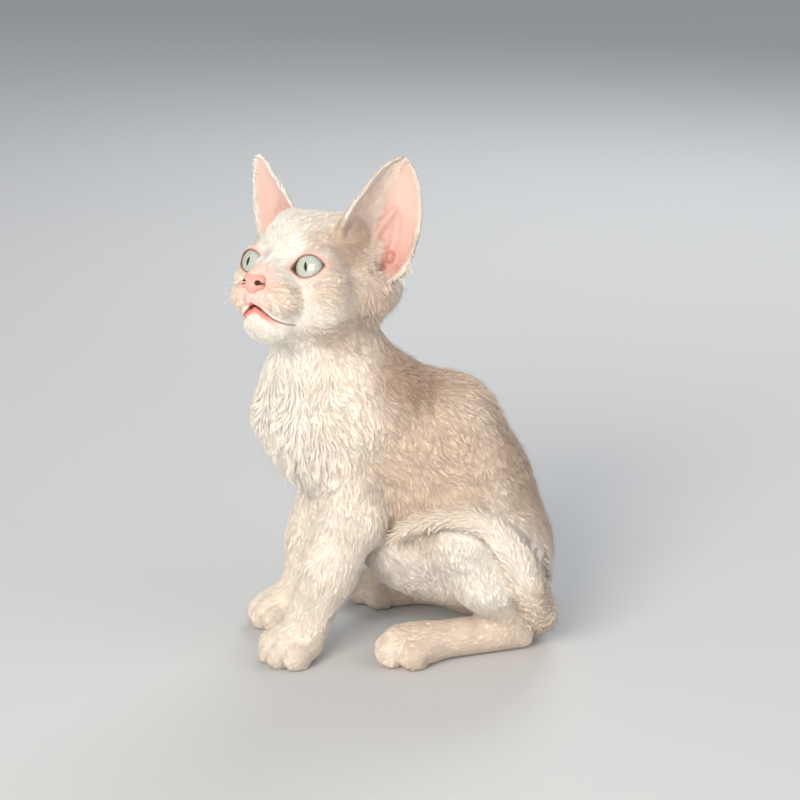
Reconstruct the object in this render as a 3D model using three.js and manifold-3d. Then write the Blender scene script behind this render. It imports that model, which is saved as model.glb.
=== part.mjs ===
// A life-size kitten of a curly-coated breed, sitting with its head turned and raised.
// Millimetres. x runs from the face to the rump, y from the kitten's left side to its right, z up.
// The flesh is one smooth field of eggs and limbs. Each node is a part of it, cut from the next by a plane.
import * as THREE from "three";
import { mergeVertices } from "three/addons/utils/BufferGeometryUtils.js";
import solidsModule from "manifold-3d";

const solids = await solidsModule();
solids.setup();

const CUT_GAP = 0.3; // between two nodes that meet
const MIDDLE = [-2.655, -0.27]; // the middle of the whole kitten's box on the floor, moved to the origin
const MERGE = 1e-4;
const SHORT_EDGES = [0.03, 0.02, 0.05, 0.01, 0.08]; // a cut leaves short ones, which are closed up
const SAME_PLACE = 4; // decimals of a millimetre

// Sizes of the mesh's squares, from the broad trunk to the face.
const TRUNK_CELL = 9;
const LIMB_CELL = 6.6;
const FOOT_CELL = 3.9;
const SKULL_CELL = 4.2;
const FACE_CELL = 3;
const EAR_ROOT_CELL = 3.2;
const NOSE_CELL = 1.9;
const NET_TURNS = 30;
const NET_SHIFT = 0.23; // of a square, from one turn to the next

// Boxes in which the flesh lies: all of it, the whole head, the face alone and the nose alone.
const BODY_BOX = { low: [-84, -60, -9], high: [78, 60, 225] };
const HEAD_BOX = { low: [-82, -54, 132], high: [20, 48, 208] };
const FACE_BOX = { low: [-81, -52, 136], high: [-8, 36, 203] };
const NOSE_BOX = { low: [-82, -42, 153], high: [-48, -8, 184] };

const radians = THREE.MathUtils.degToRad;
const add = (a, b) => [a[0] + b[0], a[1] + b[1], a[2] + b[2]];
const sub = (a, b) => [a[0] - b[0], a[1] - b[1], a[2] - b[2]];
const scale = (a, s) => [a[0] * s, a[1] * s, a[2] * s];
const dot = (a, b) => a[0] * b[0] + a[1] * b[1] + a[2] * b[2];
const length = (a) => Math.hypot(a[0], a[1], a[2]);
const unit = (a) => scale(a, 1 / length(a));
const clamp = (v, lo, hi) => Math.min(hi, Math.max(lo, v));
const cross = (a, b) => [
  a[1] * b[2] - a[2] * b[1],
  a[2] * b[0] - a[0] * b[2],
  a[0] * b[1] - a[1] * b[0],
];
// The point (a, b, c) of a frame: an origin and three axes.
const placed = (frame, [a, b, c]) =>
  add(frame.origin, add(scale(frame.x, a), add(scale(frame.y, b), scale(frame.z, c))));
const within = (frame, p) => {
  const q = sub(p, frame.origin);
  return [dot(q, frame.x), dot(q, frame.y), dot(q, frame.z)];
};

// Distances. All are below zero inside the flesh.

// Joins two distances with a fillet of size k; carve takes the second away, with the edge rounded by k.
function join(a, b, k) {
  const h = clamp(0.5 + (0.5 * (b - a)) / k, 0, 1);
  return b + (a - b) * h - k * h * (1 - h);
}
const carve = (a, b, k) => -join(-a, b, k);
const ball = (p, centre, radius) => length(sub(p, centre)) - radius;

function limbLength(p, a, b, radiusA, radiusB) {
  const d = sub(b, a);
  const q = sub(p, a);
  const t = clamp(dot(q, d) / dot(d, d), 0, 1);
  return length(sub(q, scale(d, t))) - (radiusA + (radiusB - radiusA) * t);
}

// A limb through a row of points, each with its radius as a fourth number.
function limb(p, row, k) {
  let d = Infinity;
  for (let i = 1; i < row.length; i++) {
    const piece = limbLength(p, row[i - 1], row[i], row[i - 1][3], row[i][3]);
    d = i === 1 ? piece : join(d, piece, k);
  }
  return d;
}

// An egg about a centre, its radii along the axes of a frame (or along x, y and z).
function egg(p, centre, radii, axes) {
  let q = sub(p, centre);
  if (axes) {
    q = [dot(q, axes[0]), dot(q, axes[1]), dot(q, axes[2])];
  }
  const k0 = Math.hypot(q[0] / radii[0], q[1] / radii[1], q[2] / radii[2]);
  const k1 = Math.hypot(q[0] / radii[0] ** 2, q[1] / radii[1] ** 2, q[2] / radii[2] ** 2);
  return k1 > 1e-9 ? (k0 * (k0 - 1)) / k1 : -Math.min(...radii);
}

// A smooth curve through [place, value] keys.
function curve(keys, place) {
  const last = keys.length - 1;
  const t = clamp(place, keys[0][0], keys[last][0]);
  let i = 0;
  while (i < last - 1 && t > keys[i + 1][0]) {
    i++;
  }
  const slope = (j) => {
    const from = keys[Math.max(j - 1, 0)];
    const to = keys[Math.min(j + 1, last)];
    return (to[1] - from[1]) / (to[0] - from[0]);
  };
  const h = keys[i + 1][0] - keys[i][0];
  const u = (t - keys[i][0]) / h;
  const rise = keys[i + 1][1] - keys[i][1];
  const ease = 3 * u * u - 2 * u ** 3;
  const leave = (u ** 3 - 2 * u * u + u) * h * slope(i);
  const arrive = (u ** 3 - u * u) * h * slope(i + 1);
  return keys[i][1] + ease * rise + leave + arrive;
}

// The head's own frame has x to the nose, y to the kitten's left and z to the crown.

const HEAD_TURN = radians(44); // towards the kitten's left
const HEAD_RAISE = radians(17);
const HEAD_LEAN = radians(4);
const HEAD_ORIGIN = [-47.8, -11.8, 171.9];
const HEAD = (() => {
  const level = Math.cos(HEAD_RAISE);
  const x = [-Math.cos(HEAD_TURN) * level, -Math.sin(HEAD_TURN) * level, Math.sin(HEAD_RAISE)];
  const side = [Math.sin(HEAD_TURN), -Math.cos(HEAD_TURN), 0];
  const crown = cross(x, side);
  const y = add(scale(side, Math.cos(HEAD_LEAN)), scale(crown, Math.sin(HEAD_LEAN)));
  const z = sub(scale(crown, Math.cos(HEAD_LEAN)), scale(side, Math.sin(HEAD_LEAN)));
  return { origin: HEAD_ORIGIN, x, y, z };
})();

const EYE = { centre: [0, 13.6, -0.6], radius: 8.8, gaze: unit([0.99, 0.13, 0.06]) };
const LID_THICKNESS = 1.4;
const SOCKET_ROOM = 0.45; // round the eyeball
const LID_TILT = radians(12);
const UPPER_LID = { centre: -2.9, radius: 7.5 };
const LOWER_LID = { centre: 3.9, radius: 7.9 };

// An ear is a cup: its section at each height is an arc, open to the front and outwards. The left ear is
// turned more to the side than the right one. Places are those of the left side, and side mirrors them.
const LEFT_EAR = {
  side: 1,
  base: [-23.6, 24.3, 11.4],
  tip: [-19, 37.4, 48.4],
  facing: radians(36.7),
  radius: [
    [-0.35, 8], [-0.15, 13.8], [0.1, 16.3], [0.35, 16.6], [0.6, 13.1], [0.8, 9.5], [0.93, 5.5], [1, 1.6],
  ],
  inner: [[-0.35, 1.2], [-0.15, 1.2], [0.08, 1.5], [0.3, 1.75], [1, 1.2]], // the angle of each edge
  outer: [[-0.35, 1.4], [-0.15, 1.29], [0.3, 0.89], [1, 0.85]],
};
const RIGHT_EAR = {
  side: -1,
  base: [-23.6, 25.2, 11.4],
  tip: [-16.7, 36.6, 45.9],
  facing: radians(24.6),
  radius: [
    [-0.35, 7], [-0.15, 11.5], [0.1, 20.5], [0.35, 20], [0.6, 14.8], [0.8, 9.3], [0.93, 5.4], [1, 1.5],
  ],
  inner: [[-0.35, 1.9], [-0.1, 0.9], [0.3, 0.48], [1, 0.25]],
  outer: [[-0.35, 1.2], [-0.1, 1], [0.3, 0.81], [1, 0.84]],
};
const EARS = [LEFT_EAR, RIGHT_EAR];
const EAR_MIDDLE = [[-0.35, 0], [-0.15, 0.2], [0.5, 2.2], [1, 0]];
const EAR_THICKNESS = [[-0.25, 1.6], [0.1, 1.3], [1, 0.9]]; // half of it
const EAR_SET = 0.6; // of the radius, from the ear's line to the middle of its arc
const EAR_BOWL = { low: [4, 4.5, -0.1, 3.6], high: [0, 7, 0.36, 13.5], round: 4 };
const EAR_WELL = { low: [5.5, 1.5, -0.08, 3.2], high: [1, 3.5, 0.2, 8.4], round: 3 };
for (const ear of EARS) {
  const up = unit(sub(ear.tip, ear.base));
  const front = [Math.cos(ear.facing), Math.sin(ear.facing), 0];
  const face = unit(sub(front, scale(up, dot(front, up))));
  ear.length = length(sub(ear.tip, ear.base));
  ear.frame = { origin: ear.base, x: cross(up, face), y: face, z: up };
  ear.hollows = [EAR_BOWL, EAR_WELL].map(({ low, high, round }) => ({
    row: [low, high].map(([x, y, h, radius]) => [...placed(ear.frame, [x, y, h * ear.length]), radius]),
    round,
  }));
}

// The line of the mouth by its distance from the middle: its height, half its opening and its depth.
const MOUTH_HEIGHT = [[0, -17.7], [2.5, -19.1], [6, -21.5], [8, -23], [10.5, -24.2], [14, -24.6]];
const MOUTH_OPENING = [[0, 0.5], [2, 0.3], [4, 0], [8, -0.15], [11, -0.5], [14, -1.5]];
const MOUTH_BACK = [[0, 11], [6, 9], [11, 5.5], [14, 4]];

function headFlesh(point) {
  const p = within(HEAD, point);
  const m = [p[0], Math.abs(p[1]), p[2]]; // the two halves are alike but for the ears
  let d = egg(p, [-16, 0, 2], [26, 23, 23]); // cranium
  d = join(d, egg(m, [-28, 14, -6], [14, 13, 16]), 8); // back of the head, below the ear
  d = join(d, egg(m, [-33, 17, 3], [8, 9, 10]), 6); // behind the ear
  d = join(d, egg(p, [-3, 0, 7], [13, 14, 13]), 6); // forehead
  d = join(d, egg(m, [-18.5, 13.4, 16.2], [12, 8.5, 9]), 6); // crown, before the ear
  d = join(d, egg(m, [-3, 15.8, -8], [13, 11, 10]), 7); // cheekbone
  d = join(d, egg(m, [-8, 13.5, -18], [14, 10.5, 9]), 8); // jowl
  d = join(d, limb(p, [[-2, 0, -7, 14], [11, 0, -11, 10.5]], 1), 5); // upper jaw
  d = join(d, limb(p, [[6, 0, 3, 6.5], [21, 0, -6.5, 4.2]], 1), 5); // bridge of the nose
  d = join(d, limb(p, [[7, 0, -23, 9], [-12, 0, -17, 15]], 1), 7); // lower jaw
  d = carve(d, ball(m, [11.5, 15.5, 0.5], 6), 6); // hollow before the eye
  d = join(d, egg(m, [13, 7.4, -14.6], [9.6, 8, 7.8]), 4); // whisker pad
  d = join(d, egg(p, [19.6, 0, -15.2], [5, 5.5, 4]), 2); // upper lip
  d = join(d, egg(p, [10.8, 0, -25.3], [9.8, 9.3, 7.2]), 5); // chin
  d = join(d, egg(p, [22.4, 0, -7.6], [3.2, 5, 2.9]), 1.5); // nose leather
  d = join(d, egg(p, [23, 0, -10.2], [2.6, 3, 2.8]), 1.2);
  d = join(d, ball(m, EYE.centre, EYE.radius + LID_THICKNESS), 2.5); // lids
  for (const ear of EARS) {
    for (const { row, round } of ear.hollows) {
      d = carve(d, limb([p[0], p[1] * ear.side, p[2]], row, 1), round);
    }
  }
  return d;
}

// The body.

const NECK_ROW = [[-24, 0, 116, 26], [-31, 2, 138, 21], [-31, 5, 154, 19]];
const BREAST_ROW = [[-44.5, 0, 118, 14.5], [-44.5, 0, 106, 17.5], [-37, 0, 91, 17]];
const BACK_ROW = [
  [-2, 0, 103, 22], [18.5, 0, 93.5, 24.3], [31.8, 0, 68, 24.5], [39.5, 0, 41, 25.5], [42.5, 0, 28, 22.5],
];
const SHOULDER_ROW = [[-4, 11, 111, 13], [-34, 18, 96, 14.5], [-20, 23, 66, 13.5]];
const CHEST_AXES = [[0.751, 0, -0.661], [0.661, 0, 0.751], [0, 1, 0]];
const BELLY_AXES = [[0.6, 0, -0.8], [0.8, 0, 0.6], [0, 1, 0]];

function trunk(p) {
  const m = [p[0], Math.abs(p[1]), p[2]];
  let d = egg(p, [-18, 0, 95], [38, 34, 28], CHEST_AXES);
  d = join(d, limb(p, BREAST_ROW, 8), 14);
  d = join(d, egg(p, [12, 0, 58], [43, 37, 32], BELLY_AXES), 14);
  d = join(d, limb(p, BACK_ROW, 14), 14);
  d = join(d, limb(p, NECK_ROW, 10), 14);
  d = join(d, egg(p, [-18, 1, 158], [20, 22, 14]), 8); // nape
  return join(d, limb(m, SHOULDER_ROW, 8), 8);
}

const FRONT_TOES = [[-9.4, 2.5], [-3.3, 6.8], [3.3, 6.8], [9.4, 2.5]]; // sideways and forwards
const HIND_TOES = [[-8.5, -3], [-3.2, 3.5], [3.2, 4.5], [8.6, -3.5]];

function frontPaw(p, leg) {
  const front = [-Math.cos(leg.turn), -Math.sin(leg.turn), 0];
  const side = [-front[1], front[0], 0];
  const axes = [front, side, [0, 0, 1]];
  const at = (forward, sideways, height) =>
    add(leg.paw, [front[0] * forward + side[0] * sideways, front[1] * forward + side[1] * sideways, height]);
  let d = egg(p, at(-2, 0, 7.7), [13, 12.5, 9], axes);
  for (const [sideways, forward] of FRONT_TOES) {
    d = join(d, egg(p, at(forward, sideways, 6), [7.2, 4.7, 7], axes), 0.8);
  }
  return join(d, limb(p, [[...leg.wrist, 9], [...at(-4, 0, 11), 8]], 1), 6);
}

function hindFoot(p, leg) {
  const along = unit(sub(leg.toes, leg.heel));
  const side = [-along[1], along[0], 0];
  const axes = [along, side, [0, 0, 1]];
  const sole = [[...add(leg.heel, [0, 0, 8.1]), 8.6], [...add(leg.toes, [0, 0, 8.1]), 8.6]];
  const ball = add(add(leg.toes, scale(along, -7)), [0, 0, 7.6]);
  let d = join(limb(p, sole, 1), egg(p, ball, [15, 11.5, 8.8], axes), 4);
  for (const [sideways, forward] of HIND_TOES) {
    const centre = add(leg.toes, add(scale(along, forward), scale(side, sideways)));
    d = join(d, egg(p, add(centre, [0, 0, 6.2]), [7.4, 4.9, 7.6], axes), 0.8);
  }
  return d;
}

const LEFT = {
  fore: [[-26, -23, 62, 15], [-34.5, -22, 42, 12.5], [-43, -19, 18, 9.4]],
  wrist: [-43, -19, 18],
  paw: [-51, -20, 0],
  turn: radians(28),
  thigh: [[38, -22, 44, 24], [22, -30, 55, 17]],
  shin: [[22, -32, 56, 13], [31, -30, 36, 12], [44, -23, 17, 9.5]],
  heel: [48.5, -21, 0],
  toes: [-5, -30, 0],
};
const RIGHT = {
  fore: [[-30, 21, 62, 13.5], [-34.5, 21, 42, 12], [-41, 20, 18, 9.2]],
  wrist: [-41, 20, 18],
  paw: [-50.5, 21.5, 0],
  turn: radians(5),
  thigh: [[38, 22, 44, 24], [20, 31, 54, 17]],
  shin: [[20, 33, 54, 13], [30, 31, 35, 12], [42.5, 25, 17, 9.3]],
  heel: [46, 26, 0],
  toes: [-5, 40, 0],
};

function flesh(p) {
  let d = trunk(p);
  for (const leg of [LEFT, RIGHT]) {
    d = join(d, join(limb(p, leg.fore, 8), frontPaw(p, leg), 4), 7);
    d = join(d, limb(p, leg.thigh, 8), 10);
    d = join(d, join(limb(p, leg.shin, 8), hindFoot(p, leg), 6), 5);
  }
  return join(d, headFlesh(p), 9);
}

const TAIL_ROW = [
  [44, 0, 27, 8], [53, -3, 16, 8], [57.3, -11, 12.5, 7.6], [57.2, -19, 13, 7.4], [56, -27, 17.5, 7.2],
  [52.4, -35, 26, 7.1], [47.3, -43, 38, 6.8], [42.3, -46.5, 49, 6.3], [37.4, -47.2, 56.5, 5.7],
  [31.8, -47, 63.2, 5.2], [24.7, -46.2, 68.1, 4.9], [15.4, -43.6, 69.5, 4.6], [5.9, -38.6, 67, 4.1],
  [-3.8, -33.6, 62, 3.1], [-8.8, -31.4, 56.9, 1.8],
];

// Meshes.

// The surface of a field within a box, as a closed net of squares of the given size. A net that touches
// itself is laid again with its start moved a little.
function netOf(field, low, high, cell) {
  let net;
  for (let turn = 0; turn < NET_TURNS; turn++) {
    const start = low.map((v, n) => v - ((turn * (n + 1) * NET_SHIFT) % 1) * cell);
    net = netFrom(field, start, high, cell);
    if (touchingEdges(net.triangles) === 0) {
      break;
    }
  }
  return net;
}

// How many edges have more than two faces.
function touchingEdges(triangles) {
  const faces = new Map();
  for (let i = 0; i < triangles.length; i++) {
    const next = i % 3 === 2 ? i - 2 : i + 1;
    const key = [triangles[i], triangles[next]].sort((a, b) => a - b).join(" ");
    faces.set(key, (faces.get(key) ?? 0) + 1);
  }
  return [...faces.values()].filter((count) => count !== 2).length;
}

function netFrom(field, low, high, cell) {
  const count = [0, 1, 2].map((i) => Math.ceil((high[i] - low[i]) / cell) + 1);
  const index = (i, j, k) => (i * count[1] + j) * count[2] + k;
  const value = new Float64Array(count[0] * count[1] * count[2]);
  const last = count.map((n) => n - 1);
  for (let i = 0; i < count[0]; i++) {
    for (let j = 0; j < count[1]; j++) {
      for (let k = 0; k < count[2]; k++) {
        const edge = i === 0 || j === 0 || k === 0 || i === last[0] || j === last[1] || k === last[2];
        const here = [low[0] + i * cell, low[1] + j * cell, low[2] + k * cell];
        value[index(i, j, k)] = edge ? cell / 2 : field(here);
      }
    }
  }
  const points = [];
  const triangles = [];
  const cellPoint = new Map();
  const corners = [0, 1, 2, 3, 4, 5, 6, 7].map((n) => [n & 1, (n >> 1) & 1, (n >> 2) & 1]);
  const pointOf = (i, j, k) => {
    const key = index(i, j, k);
    if (cellPoint.has(key)) {
      return cellPoint.get(key);
    }
    const sum = [0, 0, 0];
    let crossings = 0;
    for (const a of corners) {
      for (let axis = 0; axis < 3; axis++) {
        if (a[axis] === 1) {
          continue;
        }
        const b = a.slice();
        b[axis] = 1;
        const va = value[index(i + a[0], j + a[1], k + a[2])];
        const vb = value[index(i + b[0], j + b[1], k + b[2])];
        if (va < 0 === vb < 0) {
          continue;
        }
        const cut = a.slice();
        cut[axis] = va / (va - vb);
        cut.forEach((v, n) => (sum[n] += v));
        crossings++;
      }
    }
    const start = [i, j, k];
    points.push(sum.map((v, n) => low[n] + (start[n] + v / crossings) * cell));
    cellPoint.set(key, points.length - 1);
    return points.length - 1;
  };
  const distance2 = (a, b) => dot(sub(points[a], points[b]), sub(points[a], points[b]));
  for (let i = 0; i < last[0]; i++) {
    for (let j = 0; j < last[1]; j++) {
      for (let k = 0; k < last[2]; k++) {
        const start = [i, j, k];
        const inside = value[index(i, j, k)] < 0;
        for (let axis = 0; axis < 3; axis++) {
          const u = (axis + 1) % 3;
          const v = (axis + 2) % 3;
          if (start[u] === 0 || start[v] === 0) {
            continue;
          }
          const next = start.slice();
          next[axis]++;
          if (value[index(...next)] < 0 === inside) {
            continue;
          }
          const around = [[-1, -1], [0, -1], [0, 0], [-1, 0]].map(([du, dv]) => {
            const c = start.slice();
            c[u] += du;
            c[v] += dv;
            return pointOf(...c);
          });
          const [a, b, c, d] = inside ? around : around.reverse();
          if (distance2(a, c) < distance2(b, d)) {
            triangles.push(a, b, c, a, c, d);
          } else {
            triangles.push(a, b, d, b, c, d);
          }
        }
      }
    }
  }
  return { points: points.map((p) => settled(field, p, cell)), triangles };
}

// Moves a point of the net onto the surface itself.
function settled(field, point, cell) {
  const step = 0.05 * cell;
  let p = point;
  for (let turn = 0; turn < 3; turn++) {
    const d = field(p);
    const slope = [0, 1, 2].map((n) => {
      const ahead = p.slice();
      const behind = p.slice();
      ahead[n] += step;
      behind[n] -= step;
      return (field(ahead) - field(behind)) / (2 * step);
    });
    const steep = Math.max(dot(slope, slope), 0.3);
    p = sub(p, scale(slope, clamp(d, -0.4 * cell, 0.4 * cell) / steep));
  }
  return p;
}

// A solid from a closed mesh, turned to face out.
function solidFrom({ points, triangles }) {
  let volume = 0;
  for (let i = 0; i < triangles.length; i += 3) {
    const [a, b, c] = [0, 1, 2].map((n) => points[triangles[i + n]]);
    volume += dot(a, cross(b, c));
  }
  const facing = volume < 0 ? triangles.slice().reverse() : triangles;
  return new solids.Manifold(
    new solids.Mesh({
      numProp: 3,
      vertProperties: new Float32Array(points.flat()),
      triVerts: new Uint32Array(facing),
    }),
  );
}

function solidOfGeometry(geometry) {
  const bare = new THREE.BufferGeometry().setAttribute("position", geometry.getAttribute("position"));
  bare.setIndex(geometry.getIndex());
  const merged = mergeVertices(bare, MERGE);
  const { array } = merged.attributes.position;
  const points = Array.from({ length: array.length / 3 }, (_, n) => [...array.slice(3 * n, 3 * n + 3)]);
  return solidFrom({ points, triangles: [...merged.index.array] });
}

// A block on the axes of a frame, from one corner to the other.
function block(frame, low, high) {
  const size = sub(high, low);
  const geometry = new THREE.BoxGeometry(...size);
  const middle = placed(frame, scale(add(low, high), 0.5));
  const turn = new THREE.Matrix4().makeBasis(
    new THREE.Vector3(...frame.x),
    new THREE.Vector3(...frame.y),
    new THREE.Vector3(...frame.z),
  );
  turn.setPosition(...middle);
  return solidOfGeometry(geometry.applyMatrix4(turn));
}

function eggSolid(frame, centre, radii, around, along) {
  const geometry = new THREE.SphereGeometry(1, around, along);
  geometry.scale(...radii);
  const turn = new THREE.Matrix4().makeBasis(
    new THREE.Vector3(...frame.x),
    new THREE.Vector3(...frame.y),
    new THREE.Vector3(...frame.z),
  );
  turn.setPosition(...placed(frame, centre));
  return solidOfGeometry(geometry.applyMatrix4(turn));
}

// A closed skin over a grid of rings: rows of points joined up, each end closed on its middle.
function lofted(rings) {
  const around = rings[0].length;
  const points = rings.flat();
  const triangles = [];
  for (let i = 0; i + 1 < rings.length; i++) {
    for (let j = 0; j < around; j++) {
      const a = i * around + j;
      const b = i * around + ((j + 1) % around);
      triangles.push(a, b, b + around, a, b + around, a + around);
    }
  }
  const centreOf = (ring) => scale(ring.reduce(add), 1 / ring.length);
  points.push(centreOf(rings[0]), centreOf(rings[rings.length - 1]));
  const bottom = points.length - 2;
  const top = points.length - 1;
  const start = (rings.length - 1) * around;
  for (let j = 0; j < around; j++) {
    const k = (j + 1) % around;
    triangles.push(bottom, k, j, top, start + j, start + k);
  }
  return { points, triangles };
}

// The points of a solid's mesh and its triangles.
function meshOf(solid) {
  const { vertProperties, triVerts } = solid.getMesh();
  const points = Array.from({ length: vertProperties.length / 3 }, (_, n) => [
    ...vertProperties.slice(3 * n, 3 * n + 3),
  ]);
  return { points, triangles: [...triVerts] };
}

// The mesh with the edges shorter than a size closed up.
function closedUp({ points, triangles }, size) {
  const stands = points.map((_, n) => n);
  const standFor = (n) => (stands[n] === n ? n : standFor(stands[n]));
  for (let i = 0; i < triangles.length; i++) {
    const next = i % 3 === 2 ? i - 2 : i + 1;
    const [a, b] = [standFor(triangles[i]), standFor(triangles[next])];
    if (a !== b && length(sub(points[a], points[b])) < size) {
      stands[Math.max(a, b)] = Math.min(a, b);
    }
  }
  const kept = new Map();
  for (let i = 0; i < triangles.length; i += 3) {
    const corners = [0, 1, 2].map((n) => standFor(triangles[i + n]));
    if (new Set(corners).size < 3) {
      continue;
    }
    const key = corners.slice().sort((a, b) => a - b).join(" ");
    if (kept.has(key)) {
      kept.delete(key); // two faces back to back
    } else {
      kept.set(key, corners);
    }
  }
  return { points, triangles: [...kept.values()].flat() };
}

// Whether every edge has two faces when points at one place count as one.
function isClosed({ points, triangles }) {
  const known = new Map();
  const first = points.map((point, n) => {
    const key = point.map((v) => v.toFixed(SAME_PLACE)).join(" ");
    if (!known.has(key)) {
      known.set(key, n);
    }
    return known.get(key);
  });
  return touchingEdges(triangles.map((n) => first[n])) === 0;
}

// The solid without its shortest edges, tried with one size after another until it stays closed.
function tidied(solid) {
  for (const size of SHORT_EDGES) {
    try {
      const tried = solidFrom(closedUp(meshOf(solid), size));
      if (isClosed(meshOf(tried))) {
        return tried;
      }
    } catch {
      continue; // this size folds a face over
    }
  }
  return solid;
}

const largest = (solid) =>
  solid.decompose().reduce((best, piece) => (piece.volume() > best.volume() ? piece : best));

// Rooms. Each is one node's share of the flesh, in the order in which they are cut.

const WORLD = { origin: [0, 0, 0], x: [1, 0, 0], y: [0, 1, 0], z: [0, 0, 1] };
const tilted = (origin, degrees) => {
  const t = radians(degrees);
  return { origin, x: [Math.cos(t), 0, Math.sin(t)], y: [0, 1, 0], z: [-Math.sin(t), 0, Math.cos(t)] };
};
const HEAD_FLOOR = 142.5;
const PAW_TOP = 15.5;
const ELBOW = 49;
const HEEL_TOP = 15;
const KNEE = 40;
const CHEST = tilted([-5, 0, 71], 24);
const RUMP = tilted([31, 0, 56], 56);
const FACE_BACK = -11.5;

const mirrored = (low, high, side) =>
  side < 0 ? [[low[0], -high[1], low[2]], [high[0], -low[1], high[2]]] : [low, high];
const sided = (name, side, frame, low, high, cell) => {
  const [a, b] = mirrored(low, high, side);
  return { name: name + (side < 0 ? "_left" : "_right"), frame, low: a, high: b, cell };
};
const ROOMS = [
  ...[-1, 1].flatMap((side) => [
    sided("front_paw", side, WORLD, [-82, 0, -6], [-27, 50, PAW_TOP], FOOT_CELL),
    sided("forearm", side, WORLD, [-66, 4, PAW_TOP], [-20, 50, ELBOW], LIMB_CELL),
    sided("upper_arm", side, WORLD, [-70, 19, ELBOW], [-3, 60, 106], LIMB_CELL),
    sided("hind_foot", side, WORLD, [-27, 4, -6], [70, 60, HEEL_TOP], FOOT_CELL),
    sided("shin", side, WORLD, [0, 14, HEEL_TOP], [72, 62, KNEE], LIMB_CELL),
    sided("thigh", side, WORLD, [3, 23, KNEE], [72, 62, 84], LIMB_CELL),
  ]),
  { name: "chest", frame: CHEST, low: [-70, -60, 0], high: [70, 60, 54], cell: TRUNK_CELL },
  { name: "rump", frame: RUMP, low: [-70, -60, -70], high: [70, 60, 0], cell: TRUNK_CELL },
  { name: "neck", frame: WORLD, low: [-80, -50, 95], high: [30, 50, HEAD_FLOOR], cell: TRUNK_CELL },
  { name: "abdomen", frame: WORLD, low: [-60, -60, 0], high: [80, 60, 120], cell: TRUNK_CELL },
];

const NET_MARGIN = 1.6; // squares laid beyond a room
const grown = (low, high, by) => [low.map((v) => v - by), high.map((v) => v + by)];

// The flesh's net over a room and a little more, closed outside the room.
function netOver(field, frame, low, high, cell) {
  const [from, to] = grown(low, high, NET_MARGIN * cell);
  const ends = [0, 1, 2].map((n) => [from[n], to[n]]);
  const [xs, ys, zs] = ends;
  const corners = xs.flatMap((x) => ys.flatMap((y) => zs.map((z) => placed(frame, [x, y, z]))));
  const least = BODY_BOX.low.map((v, n) => Math.max(v, Math.min(...corners.map((corner) => corner[n]))));
  const most = BODY_BOX.high.map((v, n) => Math.min(v, Math.max(...corners.map((corner) => corner[n]))));
  return solidFrom(netOf(field, least, most, cell));
}

const floorCut = (solid) => solid.trimByPlane([0, 0, 1], 0);
const named = new Map();
const taken = [];
for (const room of ROOMS) {
  let solid = netOver(flesh, room.frame, room.low, room.high, room.cell);
  solid = floorCut(solid).intersect(block(room.frame, room.low, room.high));
  for (const other of taken) {
    solid = solid.subtract(other);
  }
  named.set(room.name, largest(solid));
  const [from, to] = grown(room.low, room.high, CUT_GAP);
  taken.push(block(room.frame, from, to));
}

// The head's nodes.

const MOUTH_STEPS = { across: 24, deep: 6 };

// A closed solid between two heights over the plane of the mouth.
function mouthBlock(topOf, bottomOf, front, back, side) {
  const { across, deep } = MOUTH_STEPS;
  const rings = [];
  for (let i = 0; i <= across; i++) {
    const y = -side + (2 * side * i) / across;
    const ring = [];
    for (let j = 0; j <= deep; j++) {
      const x = front(y) + ((back(y) - front(y)) * j) / deep;
      ring.push([x, y, topOf(x, y)]);
    }
    for (let j = deep; j >= 0; j--) {
      const x = front(y) + ((back(y) - front(y)) * j) / deep;
      ring.push([x, y, bottomOf(x, y)]);
    }
    rings.push(ring.map((p) => placed(HEAD, p)));
  }
  return solidFrom(lofted(rings));
}

const JAW_BACK = 1.5;
const JAW_SIDE = 20;
const JAW_FRONT = 32;
const JAW_DEPTH = -60;
const MOUTH_EASE = 2; // over which the slit opens from its back
const mouthMiddle = (y) => curve(MOUTH_HEIGHT, Math.abs(y));
const mouthHalf = (x, y) => {
  const back = curve(MOUTH_BACK, Math.abs(y));
  const opened = clamp((x - back) / MOUTH_EASE, 0, 1);
  return CUT_GAP / 2 + opened * Math.max(curve(MOUTH_OPENING, Math.abs(y)) - CUT_GAP / 2, 0);
};
const jawRoom = mouthBlock(
  (x, y) => mouthMiddle(y) - mouthHalf(x, y),
  () => JAW_DEPTH,
  () => JAW_FRONT,
  () => JAW_BACK,
  JAW_SIDE,
);
const jawRoomGrown = mouthBlock(
  (x, y) => mouthMiddle(y) + mouthHalf(x, y),
  () => JAW_DEPTH - 1,
  () => JAW_FRONT + 1,
  () => JAW_BACK - CUT_GAP,
  JAW_SIDE + CUT_GAP,
);

const eyeFrame = (side) => {
  const gaze = unit([EYE.gaze[0], EYE.gaze[1] * side, EYE.gaze[2]]);
  const out = unit(cross([0, 0, side], gaze));
  const up = scale(cross(gaze, out), side);
  const turned = (v) => add(scale(HEAD.x, v[0]), add(scale(HEAD.y, v[1]), scale(HEAD.z, v[2])));
  const centre = placed(HEAD, [EYE.centre[0], EYE.centre[1] * side, EYE.centre[2]]);
  const tilt = LID_TILT;
  const long = add(scale(out, Math.cos(tilt)), scale(up, Math.sin(tilt)));
  const high = sub(scale(up, Math.cos(tilt)), scale(out, Math.sin(tilt)));
  return { origin: centre, x: turned(gaze), y: turned(long), z: turned(high), hand: side };
};

const LID_STEPS = 9;
const LID_REACH = [1, 18]; // of the opening along the gaze

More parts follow.
